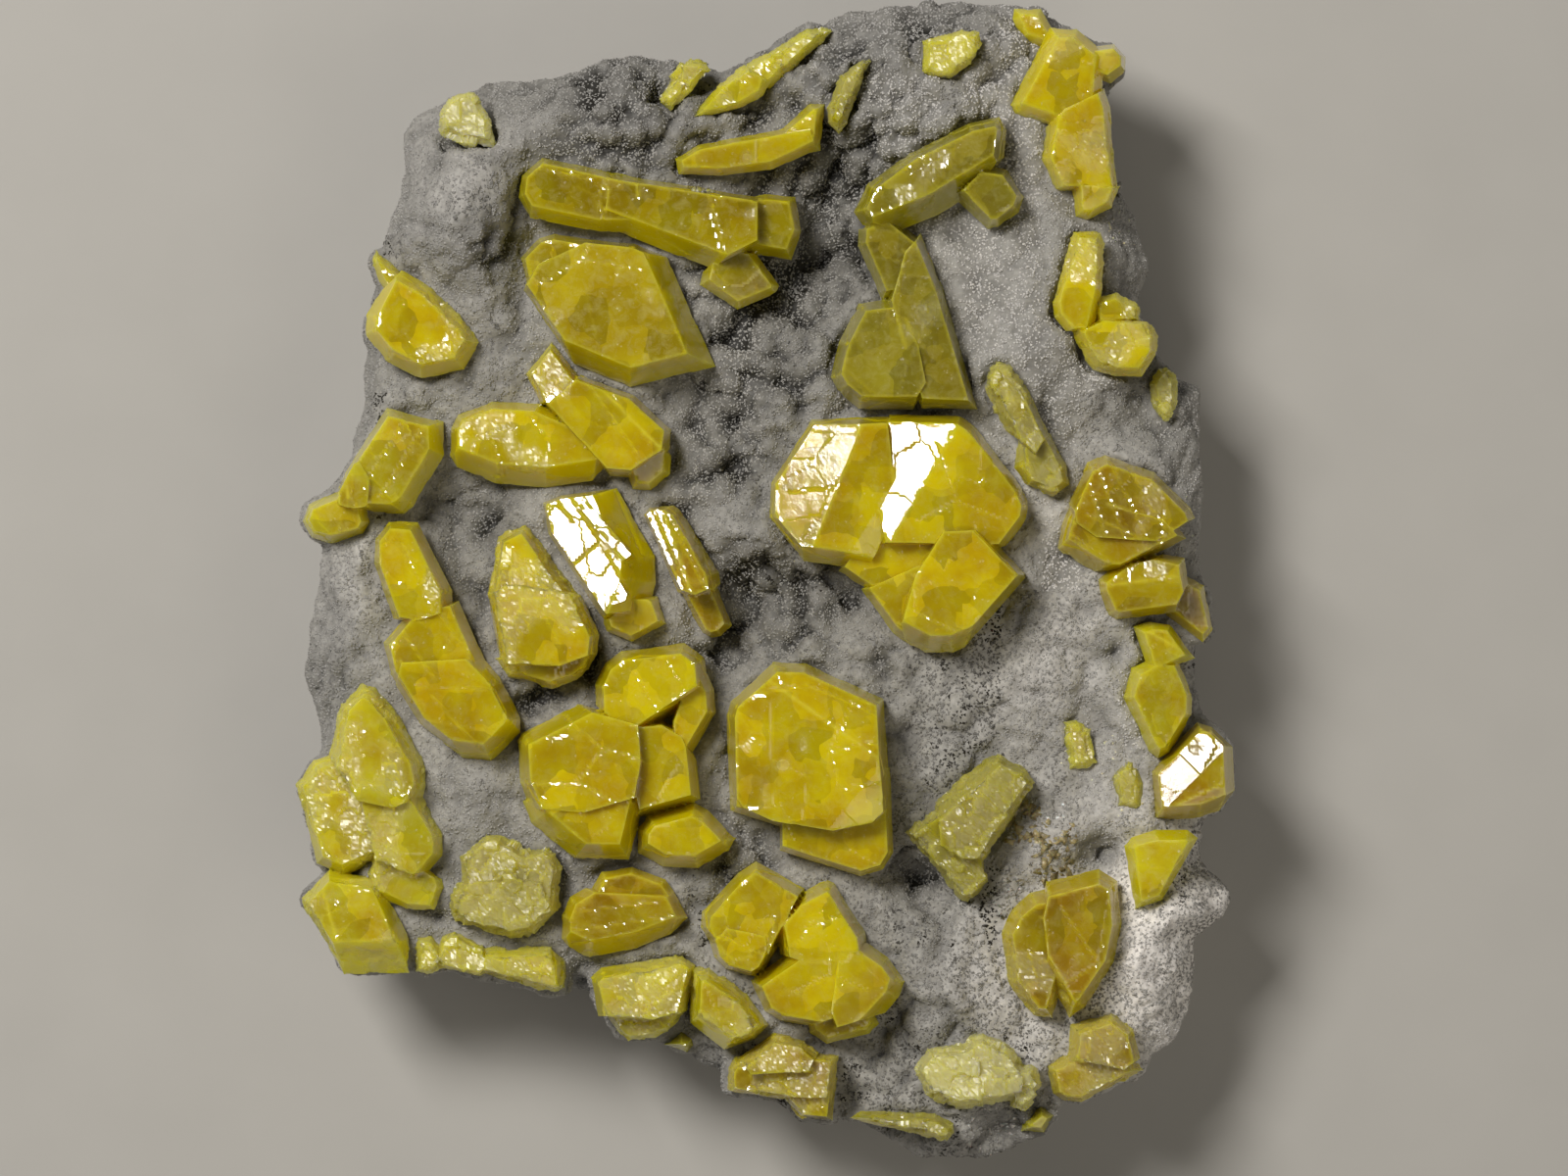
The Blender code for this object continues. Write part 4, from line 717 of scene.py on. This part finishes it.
# How much of each crystal is etched, and the finish of those that differ from their kind
ETCHED_SHARE = {
    "sulfur_left_rim_crystal": 0.5, "sulfur_glazed_block": 0.55, "sulfur_leaning_pair": 0.25,
    "sulfur_lower_left_group": 0.45, "sulfur_frosted_cluster": 0.8, "sulfur_pale_cushion": 0.9,
    "sulfur_pale_crust": 0.9, "sulfur_frosted_lath": 0.7, "sulfur_olive_wedge": 0.75,
    "sulfur_olive_group": 0.28, "sulfur_upper_right_group": 0.32, "sulfur_bottom_row": 0.7,
    "sulfur_bottom_left_pair": 0.5, "sulfur_bottom_block": 0.45, "sulfur_oval_crystal": 0.4,
    "sulfur_lower_right_group": 0.4, "sulfur_right_rim_pair": 0.4, "sulfur_striped_block": 0.3,
    "sulfur_top_chip": 0.7, "sulfur_top_blade": 0.5, "sulfur_flat_flake": 0.6,
    "sulfur_ridge_blade": 0.6, "sulfur_embedded_tablet": 0.7, "sulfur_embedded_strip": 0.8,
    "sulfur_right_rim_chip": 0.7, "sulfur_bottom_strip": 0.6, "sulfur_mirror_block": 0.08,
    "sulfur_mirror_corner": 0.1, "sulfur_mirror_prism": 0.1, "sulfur_centre_right_group": 0.1,
}
USUAL_ETCHED = 0.12
OTHER_FINISH = {"sulfur_upper_prism": DUSKY, "sulfur_square_block": MUSTARD,
                "sulfur_pale_cushion": PALE, "sulfur_pale_crust": PALE}

# Cleavage cracks and long growth lines on the larger faces, each a run of points of the plan
GROOVES = {
    "sulfur_mirror_block": (
        ((-24.7, 11.6), (-20.9, 5.9), (-24.5, 2.8)), ((-20.9, 5.9), (-17.0, -0.8)),
        ((-20.9, 5.9), (-16.6, 2.6)), ((-26.2, 10.8), (-24.6, 8.6)), ((-19.0, 12.4), (-15.6, 4.4))),
    "sulfur_mirror_prism": (
        ((-14.0, 9.6), (-9.6, -0.8)), ((-12.6, 9.9), (-7.6, 0.2)), ((-8.8, 4.3), (-7.6, 2.3))),
    "sulfur_leaning_pair": (
        ((-28.4, 29.0), (-25.6, 24.6)), ((-27.0, 30.0), (-24.6, 26.4)),
        ((-22.6, 26.2), (-16.4, 17.4)), ((-20.4, 26.2), (-14.6, 18.4)),
        ((-36.0, 22.6), (-33.4, 14.4))),
    "sulfur_left_lath": (((-43.2, 21.2), (-49.0, 11.4)), ((-45.4, 22.0), (-51.0, 13.0))),
    "sulfur_left_column": (
        ((-47.4, -3.6), (-42.0, -11.4)), ((-46.2, 5.6), (-42.4, -2.6)),
        ((-44.2, -12.6), (-35.4, -12.8)), ((-42.4, -13.6), (-36.0, -20.6)),
        ((-41.6, -3.0), (-37.0, -9.0))),
    "sulfur_striped_block": (
        ((40.6, 14.8), (43.4, 6.6)), ((42.2, 15.6), (45.8, 6.4)), ((44.0, 16.0), (48.4, 6.8)),
        ((46.4, 15.4), (50.8, 7.6)), ((41.0, 9.4), (47.5, 6.6)), ((38.6, 7.0), (44.4, 3.2))),
    "sulfur_centre_right_group": (
        ((26.0, -5.5), (31.5, 0.5)), ((26.6, 7.0), (32.2, 2.0)), ((20.0, 6.6), (19.0, -3.0)),
        ((19.0, -3.0), (24.6, -5.6)), ((22.0, 18.4), (24.4, 11.0), (30.4, 8.6)),
        ((3.2, 12.2), (8.6, 12.8)), ((24.4, 11.0), (19.6, 8.4))),
    "sulfur_great_block": (
        ((-3.4, -13.6), (5.4, -12.2), (11.2, -14.6)), ((11.2, -14.6), (14.8, -16.4)),
        ((0.8, -14.0), (1.2, -27.6), (-4.2, -27.8)), ((11.2, -14.6), (8.4, -20.6), (14.8, -19.4)),
        ((8.4, -20.6), (9.6, -25.4), (15.4, -24.6)), ((1.2, -22.0), (5.6, -24.0), (5.0, -29.4))),
    "sulfur_great_cluster": (
        ((-25.6, -16.2), (-20.6, -20.4), (-15.8, -21.4)), ((-20.6, -20.4), (-23.6, -24.6)),
        ((-23.6, -24.6), (-30.4, -24.8)), ((-23.6, -24.6), (-18.6, -27.4)),
        ((-16.8, -10.4), (-13.4, -16.4))),
    "sulfur_upper_prism": (
        ((-19.4, 53.0), (-21.2, 50.0), (-20.4, 45.8)), ((-7.4, 51.2), (-5.2, 43.0)),
        ((-28.6, 53.4), (-22, 52.0))),
    "sulfur_square_block": (
        ((-29.0, 38.6), (-23.4, 41.8), (-15.8, 40.6)), ((-23.4, 41.8), (-22.0, 44.0))),
    "sulfur_bottom_group": (
        ((-5.8, -44.2), (0.4, -46.8), (1.2, -41.6)), ((3.6, -51.6), (8.4, -49.2), (13.2, -51.2)),
        ((8.4, -49.2), (8.2, -45.4)), ((5.0, -43.4), (10.0, -41.4))),
    "sulfur_oval_crystal": (
        ((37.6, -50.6), (42.6, -47.8), (43.6, -41.2)), ((37.8, -40.6), (42.6, -47.8))),
    "sulfur_amber_slab": (
        ((-24.6, -43.6), (-11.8, -41.8)), ((-23.6, -41.2), (-12.8, -39.8)),
        ((-24.6, -45.6), (-13, -43.6))),
    "sulfur_bottom_left_pair": (((-7.6, -50.0), (-5.6, -55.0), (-1.4, -56.0)),),
}


def edge_closeness(shape_mesh, places):
    """How close each place is to a sharp edge of the crystal, as a share."""
    shape = bmesh.new()
    shape.from_mesh(shape_mesh)
    along = []
    for edge in shape.edges:
        if len(edge.link_faces) == 2 and edge.calc_face_angle_signed(0) > SHARP_ANGLE:
            start, end = (vert.co for vert in edge.verts)
            steps = max(1, round((end - start).length / EDGE_SPACING))
            along += [start.lerp(end, step / steps) for step in range(steps + 1)]
    shape.free()
    edges = KDTree(len(along))
    for number, place in enumerate(along):
        edges.insert(place, number)
    edges.balance()
    away = np.array([edges.find(place)[2] for place in places])
    return np.clip(1 - away / EDGE_REACH, 0, 1)


def groove_closeness(node, places):
    """How close each place on the upper side is to one of the crystal's grooves, as a share."""
    nearest = np.full(len(places), 1.0)
    for run in GROOVES.get(node, ()):
        for start, end in zip(run, run[1:]):
            origin = np.array(start) * MM
            way = np.array(end) * MM - origin
            share = np.clip(((places[:, :2] - origin) @ way) / (way @ way), 0, 1)
            gap = places[:, :2] - origin - share[:, None] * way
            nearest = np.minimum(nearest, np.sqrt((gap ** 2).sum(1)))
    return np.clip(1 - nearest / GROOVE_REACH, 0, 1)


def crystal(node, number):
    """A crystal as grown: flat faces with fine steps, sharp edges, and patches etched rough."""
    made = copy_of_node(node, node.replace("sulfur_", "crystal_"))
    bpy.ops.object.mode_set(mode='EDIT')
    bpy.ops.mesh.select_all(action='SELECT')
    bpy.ops.mesh.dissolve_limited(angle_limit=FLAT_ANGLE)
    bpy.ops.object.mode_set(mode='OBJECT')
    as_grown = made.data.copy()
    longest = max(made.dimensions)
    remesh = made.modifiers.new("remesh", 'REMESH')
    remesh.mode = 'SHARP'
    remesh.octree_depth = math.ceil(math.log2(longest / (CRYSTAL_CELL * 0.95)))
    remesh.scale = longest / (CRYSTAL_CELL * 2 ** remesh.octree_depth)
    remesh.use_remove_disconnected = False
    bpy.ops.object.modifier_apply(modifier="remesh")

    places = points_of(made.data)
    ways = normals_of(made.data)
    edge = edge_closeness(as_grown, places)
    bpy.data.meshes.remove(as_grown)

    # Etched patches
    share = ETCHED_SHARE.get(node, USUAL_ETCHED)
    field = (smooth_noise(places, 7 * MM, 20 + number) + 0.5 * smooth_noise(places, 2.5 * MM, 70)) / 1.2
    etch = np.clip((field + 2 * share - 1) * 3 + 0.5, 0, 1)

    # Growth steps, faint painted highlight lines between some of them, and the grooves
    offset, owner, border = scattered_cells(places, STEP_SIZE, 31)
    shares = scramble(owner, 5)
    steps = shares[:, 0] * STEP_HEIGHT + (offset * (shares - 0.5)).sum(1) * STEP_TILT * STEP_SIZE
    line = np.clip(1 - border / EDGE_REACH, 0, 1) * (shares[:, 1] > 0.7) * 0.25
    groove = groove_closeness(node, places) * (ways[:, 2] > 0.2)

    # Hackle of two sizes
    offset, owner, _ = scattered_cells(places, HACKLE_SIZE, 32)
    tilts = scramble(owner, 6) * 2 - 1
    hackle = ((offset * tilts).sum(1) * 0.6 + tilts[:, 0] * 0.4 - 0.5) * HACKLE_HEIGHT
    offset, owner, _ = scattered_cells(places, 0.55 * HACKLE_SIZE, 33)
    tilts = scramble(owner, 7) * 2 - 1
    hackle += (offset * tilts).sum(1) * 0.35 * HACKLE_HEIGHT

    # Small tilted blocks with a painted highlight on the seams between them, and nicks along the edges
    offset, owner, border = scattered_cells(places, BLOCK_SIZE, 35)
    tilts = scramble(owner, 8) - 0.5
    blocks = (offset * tilts).sum(1) * BLOCK_TILT * BLOCK_SIZE + tilts[:, 0] * BLOCK_HEIGHT
    blocky = np.clip(share * 2 - 0.35, 0, 1) * np.sqrt(etch) * (1 - 0.5 * edge)
    seam = np.clip(1 - border / EDGE_REACH, 0, 1) * blocky * 0.35
    nicks = np.clip(smooth_noise(places, 1.3 * MM, 34) - 0.2, 0, 1) * edge * 0.4 * MM

    shift = hackle * etch - (steps + groove * GROOVE_DEPTH) * (1 - etch) - nicks
    shift += (blocks - 0.25 * BLOCK_HEIGHT) * blocky
    move_points(made.data, places + ways * shift[:, None])
    set_shares(made.data, "etch", etch)
    # The painted highlight along sharp edges, grooves, step borders and seams, fainter where etched
    set_shares(made.data, "edge", np.maximum.reduce([edge, groove * 0.5, line, seam]) * (1 - 0.6 * etch))

    made.data.materials.append(OTHER_FINISH.get(node, SLOT_FINISH[SLOT_OF[node]]))
    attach(made, "root")
    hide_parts(node)


for number, name in enumerate(CRYSTALS):
    crystal(name, number)

# A pale flake of a few fragments in a row on the upper edge of the long prism: their sizes and
# the way they face, and the row's start and run in the plan
FRAGMENTS = (0.7, 0.9, 0.8, 0.85, 0.5)
FLAKE_WAY = (0.1, 0.5, 0.8)
FLAKE_X, FLAKE_Y, FLAKE_RUN = -9.0, 50.7, (2.4, -0.2)
ABOVE_ALL = 60 * MM

flake_spots = np.array([
    crystal_tree.ray_cast(Vector(((FLAKE_X + FLAKE_RUN[0] * share) * MM,
                                  (FLAKE_Y + FLAKE_RUN[1] * share) * MM, ABOVE_ALL)),
                          Vector((0, 0, -1)))[0]
    for share in np.linspace(0, 1, len(FRAGMENTS))])
flake = stubs("crystal_flake", flake_spots, np.tile(FLAKE_WAY, (len(FRAGMENTS), 1)),
              np.array(FRAGMENTS) * MM, random, tilt=0.5)
set_shares(flake.data, "etch", np.full(STUB_POINTS * len(FRAGMENTS), 0.5))
# A painted highlight at the upper point of each fragment
set_shares(flake.data, "edge", np.tile((0.0, 0.0, 0.0, 1.0, 0.0), len(FRAGMENTS)))
flake.data.materials.append(PALE)
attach(flake, "root")
